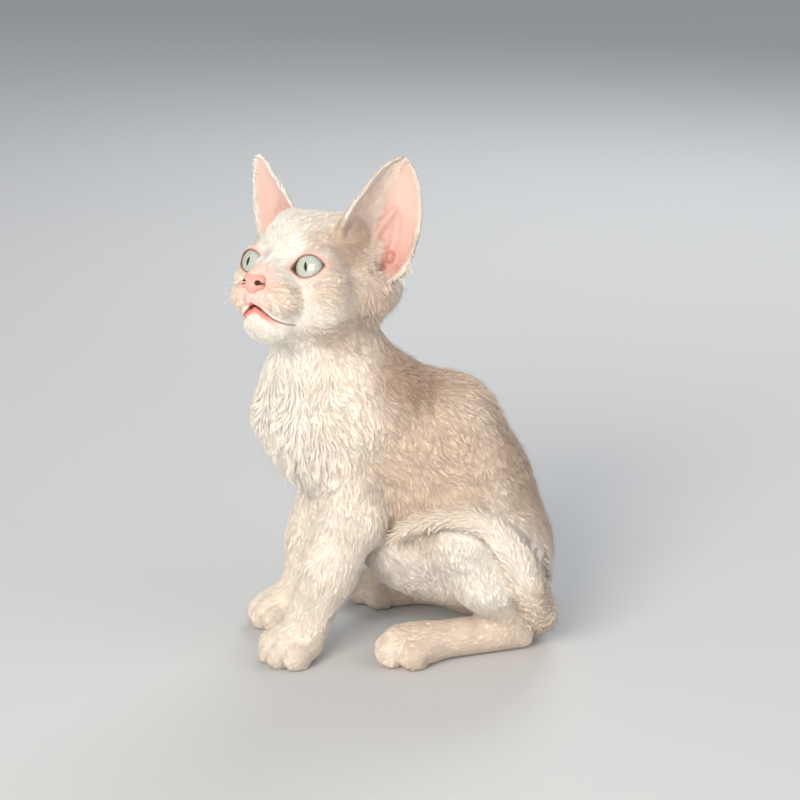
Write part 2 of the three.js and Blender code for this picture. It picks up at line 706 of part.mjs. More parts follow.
// The opening between the lids: a prism along the gaze with an almond outline.
function lidOpening(frame) {
  const arc = ({ centre, radius }, sign) => {
    const reach = Math.acos(clamp((sign > 0 ? -centre : centre) / radius, -1, 1));
    return Array.from({ length: LID_STEPS }, (_, n) => {
      const t = -reach + (2 * reach * n) / LID_STEPS;
      return [radius * Math.sin(t), centre + sign * radius * Math.cos(t)];
    });
  };
  const upper = arc(UPPER_LID, 1);
  const lower = arc(LOWER_LID, -1).map(([a, b]) => [-a, b]);
  const outline = [...upper, ...lower];
  const ordered = frame.hand > 0 ? outline.slice().reverse() : outline;
  return solidFrom(lofted(LID_REACH.map((f) => ordered.map(([a, b]) => placed(frame, [f, a, b])))));
}

const headBox = (low, high) => block(HEAD, low, high);
const HEAD_ROOM = { low: [-120, -80, HEAD_FLOOR + CUT_GAP], high: [60, 80, 240] };
const aboveNeck = block(WORLD, HEAD_ROOM.low, HEAD_ROOM.high);
const NOSE_ROOM = { low: [20.2, -5.8, -13.6], high: [32, 5.8, -3.6] };
const NOSTRILS = [
  { centre: [25, 3.5, -9], radii: [2.4, 1.2, 1] },
  { centre: [23.6, 4.9, -9.2], radii: [2.2, 1.5, 0.55] },
];
const EYE_SOCKET_STEPS = [16, 10]; // round and from pole to pole
const EYEBALL_STEPS = [16, 12];
const NOSTRIL_STEPS = [8, 6];
const FACE_ROOM = { low: [FACE_BACK, -40, -60], high: [40, 40, 45] };

function shapedHead(cell, { low, high }) {
  return solidFrom(netOf(flesh, low, high, cell)).intersect(aboveNeck);
}
const eyeFrames = { left: eyeFrame(1), right: eyeFrame(-1) };

let face = shapedHead(FACE_CELL, FACE_BOX);
let skull = shapedHead(SKULL_CELL, HEAD_BOX);
for (const frame of Object.values(eyeFrames)) {
  const room = EYE.radius + SOCKET_ROOM;
  const socket = eggSolid(frame, [0, 0, 0], [room, room, room], ...EYE_SOCKET_STEPS);
  face = face.subtract(socket).subtract(lidOpening(frame));
}
const nose = solidFrom(netOf(flesh, NOSE_BOX.low, NOSE_BOX.high, NOSE_CELL));
const nostrils = [-1, 1].flatMap((side) =>
  NOSTRILS.map(({ centre: [x, y, z], radii }) => eggSolid(HEAD, [x, y * side, z], radii, ...NOSTRIL_STEPS)),
);
const noseTip = nostrils.reduce(
  (solid, hole) => solid.subtract(hole),
  nose.intersect(headBox(NOSE_ROOM.low, NOSE_ROOM.high)),
);
const aroundNose = headBox(...grown(NOSE_ROOM.low, NOSE_ROOM.high, CUT_GAP));
const faceRoom = headBox(FACE_ROOM.low, FACE_ROOM.high);
const jaw = face.intersect(jawRoom).intersect(faceRoom);
const upperFace = face.intersect(faceRoom).subtract(jawRoomGrown).subtract(aroundNose);
skull = skull.subtract(headBox(...grown(FACE_ROOM.low, FACE_ROOM.high, CUT_GAP)));

named.set("skull", largest(skull));
named.set("face", largest(upperFace));
named.set("lower_jaw", largest(jaw));
named.set("nose", largest(noseTip));

for (const [side, frame] of Object.entries(eyeFrames)) {
  const radii = [EYE.radius, EYE.radius, EYE.radius];
  named.set("eye_" + side, eggSolid(frame, [0, 0, 0], radii, ...EYEBALL_STEPS));
}

// The ears.

const EAR_HEIGHTS = [-0.2, -0.07, 0.06, 0.2, 0.34, 0.48, 0.6, 0.72, 0.82, 0.9, 0.96, 1];
const EAR_STEPS = 8; // round the arc

function earSolid(ear) {
  const rings = EAR_HEIGHTS.map((h) => {
    const radius = curve(ear.radius, h);
    const from = -curve(ear.inner, h);
    const to = curve(ear.outer, h);
    const half = curve(EAR_THICKNESS, h);
    const at = (n, by) => {
      const t = from + ((to - from) * n) / EAR_STEPS;
      const r = radius + by;
      const x = curve(EAR_MIDDLE, h) + r * Math.sin(t);
      return placed(ear.frame, [x, EAR_SET * radius - r * Math.cos(t), h * ear.length]);
    };
    const steps = Array.from({ length: EAR_STEPS + 1 }, (_, n) => n);
    const ring = [...steps.map((n) => at(n, half)), ...steps.reverse().map((n) => at(n, -half))];
    const sidePoints = ring.map(([x, y, z]) => placed(HEAD, [x, y * ear.side, z]));
    return ear.side > 0 ? sidePoints : sidePoints.reverse();
  });
  return solidFrom(lofted(rings));
}

const fleshGrown = (p) => flesh(p) - 2 * CUT_GAP;
const headGrown = solidFrom(netOf(fleshGrown, HEAD_BOX.low, HEAD_BOX.high, EAR_ROOT_CELL));
for (const ear of EARS) {
  named.set(ear === LEFT_EAR ? "ear_left" : "ear_right", largest(earSolid(ear).subtract(headGrown)));
}

// The tail, which lies against the rump and the left leg.

const TAIL_STEPS = { around: 9, between: 2 }; // round it, and from one row to the next

function tailRings() {
  const { around, between } = TAIL_STEPS;
  const rows = [];
  const curveAt = (n, t) => {
    const at = (i) => TAIL_ROW[clamp(i, 0, TAIL_ROW.length - 1)];
    const [a, b, c, d] = [at(n - 1), at(n), at(n + 1), at(n + 2)];
    return a.map((v, i) => {
      const line = 2 * b[i] + (c[i] - v) * t;
      const bend = (2 * v - 5 * b[i] + 4 * c[i] - d[i]) * t * t;
      return 0.5 * (line + bend + (3 * b[i] - v - 3 * c[i] + d[i]) * t ** 3);
    });
  };
  for (let n = 0; n + 1 < TAIL_ROW.length; n++) {
    for (let s = 0; s < between; s++) {
      rows.push(curveAt(n, s / between));
    }
  }
  rows.push(TAIL_ROW[TAIL_ROW.length - 1]);
  const last = rows.length - 1;
  let side = [0, 0, 1];
  const rings = rows.map((row, n) => {
    const along = unit(sub(rows[Math.min(n + 1, last)].slice(0, 3), rows[Math.max(n - 1, 0)].slice(0, 3)));
    side = unit(sub(side, scale(along, dot(side, along))));
    const other = cross(along, side);
    return Array.from({ length: around }, (_, k) => {
      const t = (2 * Math.PI * k) / around;
      const out = add(scale(side, Math.cos(t)), scale(other, Math.sin(t)));
      return add(row.slice(0, 3), scale(out, row[3]));
    });
  });
  return rings;
}
// What the tail lies against, and the ways in which it is kept clear of each.
const BACKWARDS = [1, 0, 0];
const LEFT_WARDS = [0, -1, 0];
const UPWARDS = [0, 0, 1];
const DOWNWARDS = [0, 0, -1];
const TAIL_TOUCHES = {
  rump: [BACKWARDS, LEFT_WARDS, DOWNWARDS],
  shin_left: [BACKWARDS, LEFT_WARDS, DOWNWARDS],
  thigh_left: [BACKWARDS, LEFT_WARDS, UPWARDS],
  hind_foot_left: [BACKWARDS, LEFT_WARDS, UPWARDS, DOWNWARDS],
  hind_foot_right: [BACKWARDS, LEFT_WARDS, UPWARDS],
  abdomen: [LEFT_WARDS, UPWARDS],
  upper_arm_left: [BACKWARDS, LEFT_WARDS, UPWARDS, DOWNWARDS],
  forearm_left: [BACKWARDS, LEFT_WARDS, UPWARDS],
};
let wholeTail = solidFrom(lofted(tailRings()));
for (const [name, ways] of Object.entries(TAIL_TOUCHES)) {
  for (const way of [[0, 0, 0], ...ways]) {
    wholeTail = wholeTail.subtract(named.get(name).translate(scale(way, CUT_GAP)));
  }
}
const TAIL_LOW_CUT = 36;
const TAIL_HIGH_CUT = 16;
const TAIL_ROOM = { left: -60, right: 90, front: -80, back: 40, floor: -10, top: 120 };
const tailBlock = (right, floor, top) =>
  block(WORLD, [TAIL_ROOM.left, TAIL_ROOM.front, floor], [right, TAIL_ROOM.back, top]);
const lowPart = tailBlock(TAIL_ROOM.right, TAIL_ROOM.floor, TAIL_LOW_CUT - CUT_GAP / 2);
const upper = tailBlock(TAIL_ROOM.right, TAIL_LOW_CUT + CUT_GAP / 2, TAIL_ROOM.top);
const tipRoom = tailBlock(TAIL_HIGH_CUT, TAIL_LOW_CUT + CUT_GAP / 2, TAIL_ROOM.top);
const tipGrown = tailBlock(TAIL_HIGH_CUT + CUT_GAP, TAIL_ROOM.floor, TAIL_ROOM.top);
named.set("tail_root", largest(wholeTail.intersect(lowPart)));
named.set("tail_middle", largest(wholeTail.intersect(upper).subtract(tipGrown)));
named.set("tail_tip", largest(wholeTail.intersect(tipRoom)));

// The kitten, as named nodes.

const skin = (colour, roughness) => new THREE.MeshStandardMaterial({ color: colour, roughness });
const COAT = skin(0xefe3cf, 0.9);
const EAR_SKIN = skin(0xe8c6b8, 0.8);
const NOSE_SKIN = skin(0xe3a092, 0.6);
const EYE_GLASS = skin(0xb9cbc5, 0.15);
const materialOf = (name) => {
  if (name.startsWith("ear")) {
    return EAR_SKIN;
  }
  if (name.startsWith("eye")) {
    return EYE_GLASS;
  }
  return name === "nose" ? NOSE_SKIN : COAT;
};

const kitten = new THREE.Group();
kitten.name = "kitten";
for (const [name, solid] of named) {
  const mesh = tidied(solid).getMesh();
  const geometry = new THREE.BufferGeometry();
  geometry.setAttribute("position", new THREE.BufferAttribute(new Float32Array(mesh.vertProperties), 3));
  geometry.setIndex(new THREE.BufferAttribute(new Uint32Array(mesh.triVerts), 1));
  geometry.translate(-MIDDLE[0], -MIDDLE[1], 0);
  const faceted = geometry.toNonIndexed();
  faceted.computeVertexNormals();
  const node = new THREE.Mesh(faceted, materialOf(name));
  node.name = name;
  kitten.add(node);
}

export default kitten;
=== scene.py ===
import math

import bpy
import numpy as np
from mathutils import Matrix, Vector
from mathutils.kdtree import KDTree


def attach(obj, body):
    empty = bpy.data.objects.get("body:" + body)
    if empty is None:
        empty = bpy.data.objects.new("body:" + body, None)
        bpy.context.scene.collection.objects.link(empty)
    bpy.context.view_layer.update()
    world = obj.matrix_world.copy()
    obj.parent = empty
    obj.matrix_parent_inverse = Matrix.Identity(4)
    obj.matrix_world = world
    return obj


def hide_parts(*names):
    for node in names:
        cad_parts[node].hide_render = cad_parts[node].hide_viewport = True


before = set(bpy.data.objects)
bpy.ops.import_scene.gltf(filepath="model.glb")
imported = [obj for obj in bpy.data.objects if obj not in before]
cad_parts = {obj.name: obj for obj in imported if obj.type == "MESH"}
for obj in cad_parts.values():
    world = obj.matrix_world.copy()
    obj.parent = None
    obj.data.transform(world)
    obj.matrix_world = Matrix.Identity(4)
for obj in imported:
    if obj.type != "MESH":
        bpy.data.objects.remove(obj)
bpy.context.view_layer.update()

# The setting: a pale matt paper floor, one wide soft lamp high on the left, as in a pet studio, a weak
# one on the right and one behind for the fringe of the coat. The camera stands where the photograph's did.
MM = 0.001
MIDDLE = np.array([-2.655, -0.27, 0.0])  # the place among the kitten's own mm that is the frame's origin
CAMERA_TURN = math.radians(-10)
CAMERA_RISE = math.radians(17.5)
CAMERA_DISTANCE = 1.0
CAMERA_LOOKS_AT = (np.array([0.0, 0.0, 108.0]) - MIDDLE) * MM
LENS = 105.75


def linear(code):
    channels = [int(code[n : n + 2], 16) / 255 for n in (0, 2, 4)]
    return tuple(c / 12.92 if c <= 0.04045 else ((c + 0.055) / 1.055) ** 2.4 for c in channels)


def node(tree, kind, settings=(), **links):
    made = tree.nodes.new(kind)
    for name, value in dict(settings).items():
        if name in made.inputs and not hasattr(type(made), name):
            made.inputs[name].default_value = value
        else:
            setattr(made, name, value)
    for name, source in links.items():
        socket = made.inputs[int(name[1:])] if name[1:].isdigit() else made.inputs[name.replace("_", " ")]
        tree.links.new(source, socket)
    return made


def material(name):
    made = bpy.data.materials.new(name)
    made.use_nodes = True
    made.node_tree.nodes.clear()
    return made, made.node_tree


def finished(tree, settings, **links):
    surface = node(tree, "ShaderNodeBsdfPrincipled", settings, **links)
    node(tree, "ShaderNodeOutputMaterial", _0=surface.outputs[0])
    return surface


def noise(tree, scale, detail, where=None):
    if where is None:
        where = node(tree, "ShaderNodeTexCoord").outputs["Object"]
    return node(tree, "ShaderNodeTexNoise", {"Scale": scale, "Detail": detail}, Vector=where).outputs["Fac"]


def attribute(tree, name, kind="Fac"):
    return node(tree, "ShaderNodeAttribute", {"attribute_name": name}).outputs[kind]


def ranged(tree, value, low, high):
    return node(tree, "ShaderNodeMapRange", {"To Min": low, "To Max": high}, Value=value).outputs[0]


def scaled(tree, vector, share):
    return node(tree, "ShaderNodeVectorMath", {"operation": "SCALE"}, _0=vector, Scale=share).outputs[0]


def mixed(tree, share, *colours):
    """Two colours mixed, each an sRGB code or what comes out of another node."""
    made = node(tree, "ShaderNodeMix", {"data_type": "RGBA"}, _0=share)
    for socket, colour in zip(made.inputs[6:8], colours):
        if isinstance(colour, str):
            socket.default_value = (*linear(colour), 1)
        else:
            tree.links.new(colour, socket)
    return made.outputs[2]


def relief(tree, height, strength, distance, inward=False):
    settings = {"Strength": strength, "Distance": distance, "invert": inward}
    return node(tree, "ShaderNodeBump", settings, Height=height).outputs[0]


def placed(obj):
    bpy.context.scene.collection.objects.link(obj)
    return obj


paper, tree = material("matt_studio_paper")
tooth = relief(tree, noise(tree, 900.0, 3.0), 0.05, 0.0005)
cloud = mixed(tree, noise(tree, 1.3, 1.0), "CDCED0", "D5D6D6")
finished(tree, {"Roughness": 0.85}, Base_Color=cloud, Normal=tooth)
sheet = bpy.data.meshes.new("paper_floor")
sheet.from_pydata([(-4, -4, 0), (4, -4, 0), (4, 8, 0), (-4, 8, 0)], [], [(0, 1, 2, 3)])
sheet.materials.append(paper)
paper_floor = placed(bpy.data.objects.new("paper_floor", sheet))

level = math.cos(CAMERA_RISE)
back = Vector((math.sin(CAMERA_TURN) * level, -math.cos(CAMERA_TURN) * level, math.sin(CAMERA_RISE)))
right = Vector((math.cos(CAMERA_TURN), math.sin(CAMERA_TURN), 0))
lens = bpy.data.cameras.new("camera")
lens.lens = LENS
lens.sensor_width = 36
lens.clip_start = 0.05
camera = placed(bpy.data.objects.new("camera", lens))
stand = Matrix((right, back.cross(right), back)).transposed().to_4x4()
stand.translation = Vector(CAMERA_LOOKS_AT) + back * CAMERA_DISTANCE
camera.matrix_world = stand
bpy.context.scene.camera = camera

LAMPS = {
    "wide_lamp_left": ((-0.8, -1.15, 0.8), 0.8, 23.5, "FFF6EA"),
    "weak_lamp_right": ((0.95, -0.75, 0.5), 0.9, 3.8, "F8F4F2"),
    "rim_lamp_behind": ((0.45, 0.9, 0.9), 0.7, 6, "FFFFFF"),
}
for name, (place, size, watts, colour) in LAMPS.items():
    lamp = bpy.data.lights.new(name, "AREA")
    lamp.size = size
    lamp.energy = watts
    lamp.color = linear(colour)
    held = placed(bpy.data.objects.new(name, lamp))
    held.location = place
    held.rotation_euler = (Vector((0, 0, 0.1)) - Vector(place)).to_track_quat("-Z", "Y").to_euler()
room = bpy.data.worlds.new("pale_room")
room.use_nodes = True
room.node_tree.nodes["Background"].inputs["Color"].default_value = (*linear("DDE3EA"), 1)
room.node_tree.nodes["Background"].inputs["Strength"].default_value = 0.5
bpy.context.scene.world = room
bpy.context.scene.view_settings.view_transform = "Standard"

# The trunk: chest, breast, belly, arched back, neck and shoulders of a sitting kitten, out to the tips of
# its coat. Flesh and loose skin, made as eggs and limbs that melt together, below zero inside.


def unit(v):
    v = np.asarray(v, float)
    return v / np.linalg.norm(v)


def join(a, b, fillet):
    h = np.clip(0.5 + 0.5 * (b - a) / fillet, 0, 1)
    return b + (a - b) * h - fillet * h * (1 - h)


def carve(a, b, fillet):
    return -join(-a, b, fillet)


def ball(points, centre, radius):
    return np.linalg.norm(points - np.array(centre, float), axis=1) - radius


def egg(points, centre, radii, axes=None):
    offset = points - np.array(centre, float)
    if axes is not None:
        offset = offset @ np.array(axes, float).T
    radii = np.array(radii, float)
    near = np.linalg.norm(offset / radii, axis=1)
    steep = np.linalg.norm(offset / radii**2, axis=1)
    return near * (near - 1) / np.maximum(steep, 1e-9)


def limb(points, row, fillet):
    row = np.array(row, float)
    whole = None
    for (*a, wide_a), (*b, wide_b) in zip(row, row[1:]):
        a, way = np.array(a), np.array(b) - a
        along = np.clip((points - a) @ way / (way @ way), 0, 1)
        wide = wide_a + (wide_b - wide_a) * along
        piece = np.linalg.norm(points - a - along[:, None] * way, axis=1) - wide
        whole = piece if whole is None else join(whole, piece, fillet)
    return whole


def halves(points):
    return np.column_stack([points[:, 0], abs(points[:, 1]), points[:, 2]])


def ease(low, high, value):
    t = np.clip((value - low) / (high - low), 0, 1)
    return t * t * (3 - 2 * t)


def leaned(front, side, angle):
    """Three axes: the front, and the side and top turned round it by the angle."""
    top = np.cross(front, side)
    ahead, up = math.cos(angle), math.sin(angle)
    return np.array([front, side * ahead + top * up, top * ahead - side * up])


CHEST_AXES = [[0.751, 0, -0.661], [0.661, 0, 0.751], [0, 1, 0]]
BELLY_AXES = [[0.6, 0, -0.8], [0.8, 0, 0.6], [0, 1, 0]]
BREAST_ROW = [(-44.5, 0, 118, 14.5), (-44.5, 0, 106, 17.5), (-37, 0, 91, 17)]
BACK_ROW = [
    (-2, 0, 103, 22), (18.5, 0, 93.5, 24.3), (31.8, 0, 68, 24.5), (39.5, 0, 41, 25.5), (42.5, 0, 28, 22.5),
]
NECK_ROW = [(-24, 0, 116, 26), (-31, 2, 138, 21), (-31, 5, 154, 19)]
SHOULDER_ROW = [(-4, 11, 111, 13), (-34, 18, 96, 14.5), (-20, 23, 66, 13.5)]


def neck(points):
    whole = limb(points, NECK_ROW, 10)
    return join(whole, egg(points, (-18, 1, 158), (20, 22, 14)), 8)


def trunk(points):
    whole = egg(points, (-18, 0, 95), (38, 34, 28), CHEST_AXES)
    whole = join(whole, limb(points, BREAST_ROW, 8), 14)
    whole = join(whole, egg(points, (12, 0, 58), (43, 37, 32), BELLY_AXES), 14)
    whole = join(whole, limb(points, BACK_ROW, 14), 14)
    whole = join(whole, limb(points, NECK_ROW, 10), 14)
    whole = join(whole, egg(points, (-18, 1, 158), (20, 22, 14)), 8)
    return join(whole, limb(halves(points), SHOULDER_ROW, 8), 8)


# The legs: slim forelegs with round paws, folded hind legs with the knee up and the whole foot flat on the
# floor. Four toes each, with a cleft between them.
FRONT_TOES = [(-9.4, 2.5), (-3.3, 6.8), (3.3, 6.8), (9.4, 2.5)]
HIND_TOES = [(-8.5, -3), (-3.2, 3.5), (3.2, 4.5), (8.6, -3.5)]
LEFT = {
    "fore": [(-26, -23, 62, 15), (-34.5, -22, 42, 12.5), (-43, -19, 18, 9.4)],
    "wrist": (-43, -19, 18),
    "paw": (-51, -20, 0),
    "turn": math.radians(28),
    "thigh": [(38, -22, 44, 24), (22, -30, 55, 17)],
    "shin": [(22, -32, 56, 13), (31, -30, 36, 12), (44, -23, 17, 9.5)],
    "heel": (48.5, -21, 0),
    "toes": (-5, -30, 0),
}
RIGHT = {
    "fore": [(-30, 21, 62, 13.5), (-34.5, 21, 42, 12), (-41, 20, 18, 9.2)],
    "wrist": (-41, 20, 18),
    "paw": (-50.5, 21.5, 0),
    "turn": math.radians(5),
    "thigh": [(38, 22, 44, 24), (20, 31, 54, 17)],
    "shin": [(20, 33, 54, 13), (30, 31, 35, 12), (42.5, 25, 17, 9.3)],
    "heel": (46, 26, 0),
    "toes": (-5, 40, 0),
}


def front_axes(leg):
    front = np.array([-math.cos(leg["turn"]), -math.sin(leg["turn"]), 0.0])
    return np.array([front, [-front[1], front[0], 0], [0, 0, 1]])


def hind_axes(leg):
    along = unit(np.subtract(leg["toes"], leg["heel"]))
    return np.array([along, [-along[1], along[0], 0], [0, 0, 1]])


def front_paw(points, leg):
    axes = front_axes(leg)
    at = lambda *place: np.array(leg["paw"]) + np.array(place) @ axes
    whole = egg(points, at(-2, 0, 7.7), (13, 12.5, 9), axes)
    for sideways, forward in FRONT_TOES:
        whole = join(whole, egg(points, at(forward, sideways, 6), (7.2, 4.7, 7), axes), 0.8)
    return join(whole, limb(points, [(*leg["wrist"], 9), (*at(-4, 0, 11), 8)], 1), 6)


def hind_foot(points, leg):
    axes = hind_axes(leg)
    ends = [np.array(leg[end]) + (0, 0, 8.1) for end in ("heel", "toes")]
    whole = limb(points, [(*end, 8.6) for end in ends], 1)
    middle = np.array(leg["toes"]) + np.array([-7, 0, 7.6]) @ axes
    whole = join(whole, egg(points, middle, (15, 11.5, 8.8), axes), 4)
    for sideways, forward in HIND_TOES:
        centre = np.array(leg["toes"]) + np.array([forward, sideways, 6.2]) @ axes
        whole = join(whole, egg(points, centre, (7.4, 4.9, 7.6), axes), 0.8)
    return whole


def with_legs(points, whole):
    for leg in (LEFT, RIGHT):
        whole = join(whole, join(limb(points, leg["fore"], 8), front_paw(points, leg), 4), 7)
        whole = join(whole, limb(points, leg["thigh"], 8), 10)
        whole = join(whole, join(limb(points, leg["shin"], 8), hind_foot(points, leg), 6), 5)
    return whole


# The tail: thin and tapered, laid from the rump forward along the outside of the left leg and over the
# knee. The row gives its middle line and its radius to the tips of the coat.
TAIL_ROW = [
    (44, 0, 27, 8), (53, -3, 16, 8), (57.3, -11, 12.5, 7.6), (57.2, -19, 13, 7.4), (56, -27, 17.5, 7.2),
    (52.4, -35, 26, 7.1), (47.3, -43, 38, 6.8), (42.3, -46.5, 49, 6.3), (37.4, -47.2, 56.5, 5.7),
    (31.8, -47, 63.2, 5.2), (24.7, -46.2, 68.1, 4.9), (15.4, -43.6, 69.5, 4.6), (5.9, -38.6, 67, 4.1),
    (-3.8, -33.6, 62, 3.1), (-8.8, -31.4, 56.9, 1.8),
]


def smoothed(row, steps):
    row = np.array(row, float)
    row = np.vstack([2 * row[0] - row[1], row, 2 * row[-1] - row[-2]])
    found = []
    for a, b, c, d in zip(row, row[1:], row[2:], row[3:]):
        for t in np.arange(steps) / steps:
            bend = (2 * a - 5 * b + 4 * c - d) * t**2 + (3 * b - a - 3 * c + d) * t**3
            found.append((2 * b + (c - a) * t + bend) / 2)
    return np.array([*found, row[-2]])


TAIL_LINE = smoothed(TAIL_ROW, 3)


def tail(points):
    return limb(points, TAIL_LINE, 1.5)


# The head: a short wedge with high cheekbones, a full whisker pad and chin, and very large eyes. Its own
# frame has x to the nose, y to the kitten's left and z to the crown. It is turned and raised to the camera.
HEAD_TURN = math.radians(44)
HEAD_RAISE = math.radians(17)
HEAD_LEAN = math.radians(4)
HEAD_ORIGIN = np.array([-47.8, -11.8, 171.9])
ahead = np.array([-math.cos(HEAD_TURN), -math.sin(HEAD_TURN), 0])
to_nose = ahead * math.cos(HEAD_RAISE) + (0, 0, math.sin(HEAD_RAISE))
HEAD_AXES = leaned(to_nose, np.array([math.sin(HEAD_TURN), -math.cos(HEAD_TURN), 0]), HEAD_LEAN)


def to_head(points):
    return (points - HEAD_ORIGIN) @ HEAD_AXES.T


def from_head(places):
    return HEAD_ORIGIN + np.asarray(places, float) @ HEAD_AXES


def curve(keys, place):
    at, value = np.array(keys, float).T
    slope = np.empty(len(at))
    slope[1:-1] = (value[2:] - value[:-2]) / (at[2:] - at[:-2])
    slope[0] = (value[1] - value[0]) / (at[1] - at[0])
    slope[-1] = (value[-1] - value[-2]) / (at[-1] - at[-2])
    t = np.clip(place, at[0], at[-1])
    i = np.clip(np.searchsorted(at, t, side="right") - 1, 0, len(at) - 2)
    step = at[i + 1] - at[i]
    u = (t - at[i]) / step
    rise = (3 * u**2 - 2 * u**3) * (value[i + 1] - value[i])
    return value[i] + rise + step * ((u**3 - 2 * u**2 + u) * slope[i] + (u**3 - u**2) * slope[i + 1])


EYE_CENTRE = np.array([0.0, 13.6, -0.6])
EYE_RADIUS = 8.8
GAZE = unit([0.99, 0.13, 0.06])
LID_TILT = math.radians(12)
EYE_AXES = leaned(GAZE, unit(np.cross([0, 0, 1], GAZE)), LID_TILT)
MOUTH_HEIGHT = [(0, -17.7), (2.5, -19.1), (6, -21.5), (8, -23), (10.5, -24.2), (14, -24.6)]
MOUTH_OPENING = [(0, 0.5), (2, 0.3), (4, 0), (8, -0.15), (11, -0.5), (14, -1.5)]
MOUTH_BACK = [(0, 11), (6, 9), (11, 5.5), (14, 4)]
LIP_CLEFT = [(25.4, 0, -11.6, 0.35), (23.5, 0, -17, 0.5)]
NOSTRIL = (25.2, 3.5, -9)


def almond(mirrored):
    """How far a place is outside the opening of the lids."""
    forward, out, up = ((mirrored - EYE_CENTRE) @ EYE_AXES.T).T
    lids = np.maximum(np.hypot(out, up + 2.9) - 7.5, np.hypot(out, up - 3.9) - 7.9)
    return np.maximum(lids, 1 - forward)


def mouth(places):
    aside = abs(places[:, 1])
    middle = curve(MOUTH_HEIGHT, aside)
    slit = abs(places[:, 2] - middle) - curve(MOUTH_OPENING, aside)
    return np.maximum(slit, curve(MOUTH_BACK, aside) - places[:, 0])


FOLDS = [
    ([(-9, 23.5, 7, 0.6), (-11.5, 25.4, 1, 0.9), (-11.8, 26.6, -5, 1), (-10, 27, -11, 0.8)], 1.6),
    ([(-19, 27.5, -2, 0.4), (-18, 28.5, -8, 0.7), (-16, 28, -15, 0.5)], 1.4),
]


def head_form(places):
    m = halves(places)
    whole = egg(places, (-16, 0, 2), (26, 23, 23))
    whole = join(whole, egg(m, (-28, 14, -6), (14, 13, 16)), 8)
    whole = join(whole, egg(m, (-33, 17, 3), (8, 9, 10)), 6)
    whole = join(whole, egg(places, (-3, 0, 7), (13, 14, 13)), 6)
    whole = join(whole, egg(m, (-18.5, 13.4, 16.2), (12, 8.5, 9)), 6)
    whole = join(whole, egg(m, (-3, 15.8, -8), (13, 11, 10)), 7)
    whole = join(whole, egg(m, (-8, 13.5, -18), (14, 10.5, 9)), 8)
    whole = join(whole, limb(places, [(-2, 0, -7, 14), (11, 0, -11, 10.5)], 1), 5)
    whole = join(whole, limb(places, [(6, 0, 3, 6.5), (21, 0, -6.5, 4.2)], 1), 5)
    whole = join(whole, limb(places, [(7, 0, -23, 9), (-12, 0, -17, 15)], 1), 7)
    whole = carve(whole, ball(m, (11.5, 15.5, 0.5), 6), 6)
    whole = join(whole, egg(m, (13, 7.4, -14.6), (9.6, 8, 7.8)), 4)
    whole = join(whole, egg(places, (19.6, 0, -15.2), (5, 5.5, 4)), 2)
    whole = join(whole, egg(places, (10.8, 0, -25.3), (9.8, 9.3, 7.2)), 5)
    whole = join(whole, egg(places, (22.4, 0, -7.6), (3.2, 5, 2.9)), 1.5)
    whole = join(whole, egg(places, (23, 0, -10.2), (2.6, 3, 2.8)), 1.2)
    return join(whole, ball(m, EYE_CENTRE, EYE_RADIUS + 1.4), 2.5)


# The ears: huge, thin cups of bare pink skin inside and short fur outside, open to the front and outwards,
# with the canal low inside, a knob before it and a small folded pocket on the outer edge.
LEFT_EAR = {
    "side": 1,
    "base": (-23.6, 24.3, 11.4),
    "tip": (-19, 37.4, 48.4),
    "facing": math.radians(36.7),
    "radius": [
        (-0.35, 8), (-0.15, 13.8), (0.1, 16.3), (0.35, 16.6), (0.6, 13.1), (0.8, 9.5), (0.93, 5.5),
        (1, 1.6),
    ],
    "inner": [(-0.35, 1.2), (-0.15, 1.2), (0.08, 1.5), (0.3, 1.75), (1, 1.2)],
    "outer": [(-0.35, 1.4), (-0.15, 1.29), (0.3, 0.89), (1, 0.85)],
}
RIGHT_EAR = {
    "side": -1,
    "base": (-23.6, 25.2, 11.4),
    "tip": (-16.7, 36.6, 45.9),
    "facing": math.radians(24.6),
    "radius": [
        (-0.35, 7), (-0.15, 11.5), (0.1, 20.5), (0.35, 20), (0.6, 14.8), (0.8, 9.3), (0.93, 5.4),
        (1, 1.5),
    ],
    "inner": [(-0.35, 1.9), (-0.1, 0.9), (0.3, 0.48), (1, 0.25)],
    "outer": [(-0.35, 1.2), (-0.1, 1), (0.3, 0.81), (1, 0.84)],
}
EAR_MIDDLE = [(-0.35, 0), (-0.15, 0.2), (0.5, 2.2), (1, 0)]
EAR_THICKNESS = [(-0.25, 1), (0.1, 0.75), (0.8, 0.55), (1, 0.45)]
KNOB_SIZE = (1.5, 1.7, 2.2)
EAR_RIDGES = [  # angle round the arc, height and thickness
    [(0.45, -0.02, 1.9), (0.36, 0.14, 1.5), (0.2, 0.36, 0.7)],
    [(-0.15, 0.0, 1.7), (-0.1, 0.2, 1.3), (0.05, 0.42, 0.6)],
]


def ear_place(which, across, forward, height):
    return which["base"] + np.array([across, forward, height * which["length"]]) @ which["axes"]


def on_arc(which, angle, height):
    radius = curve(which["radius"], height)
    across = curve(EAR_MIDDLE, height) + radius * math.sin(angle)
    return ear_place(which, across, radius * (0.6 - math.cos(angle)), height)


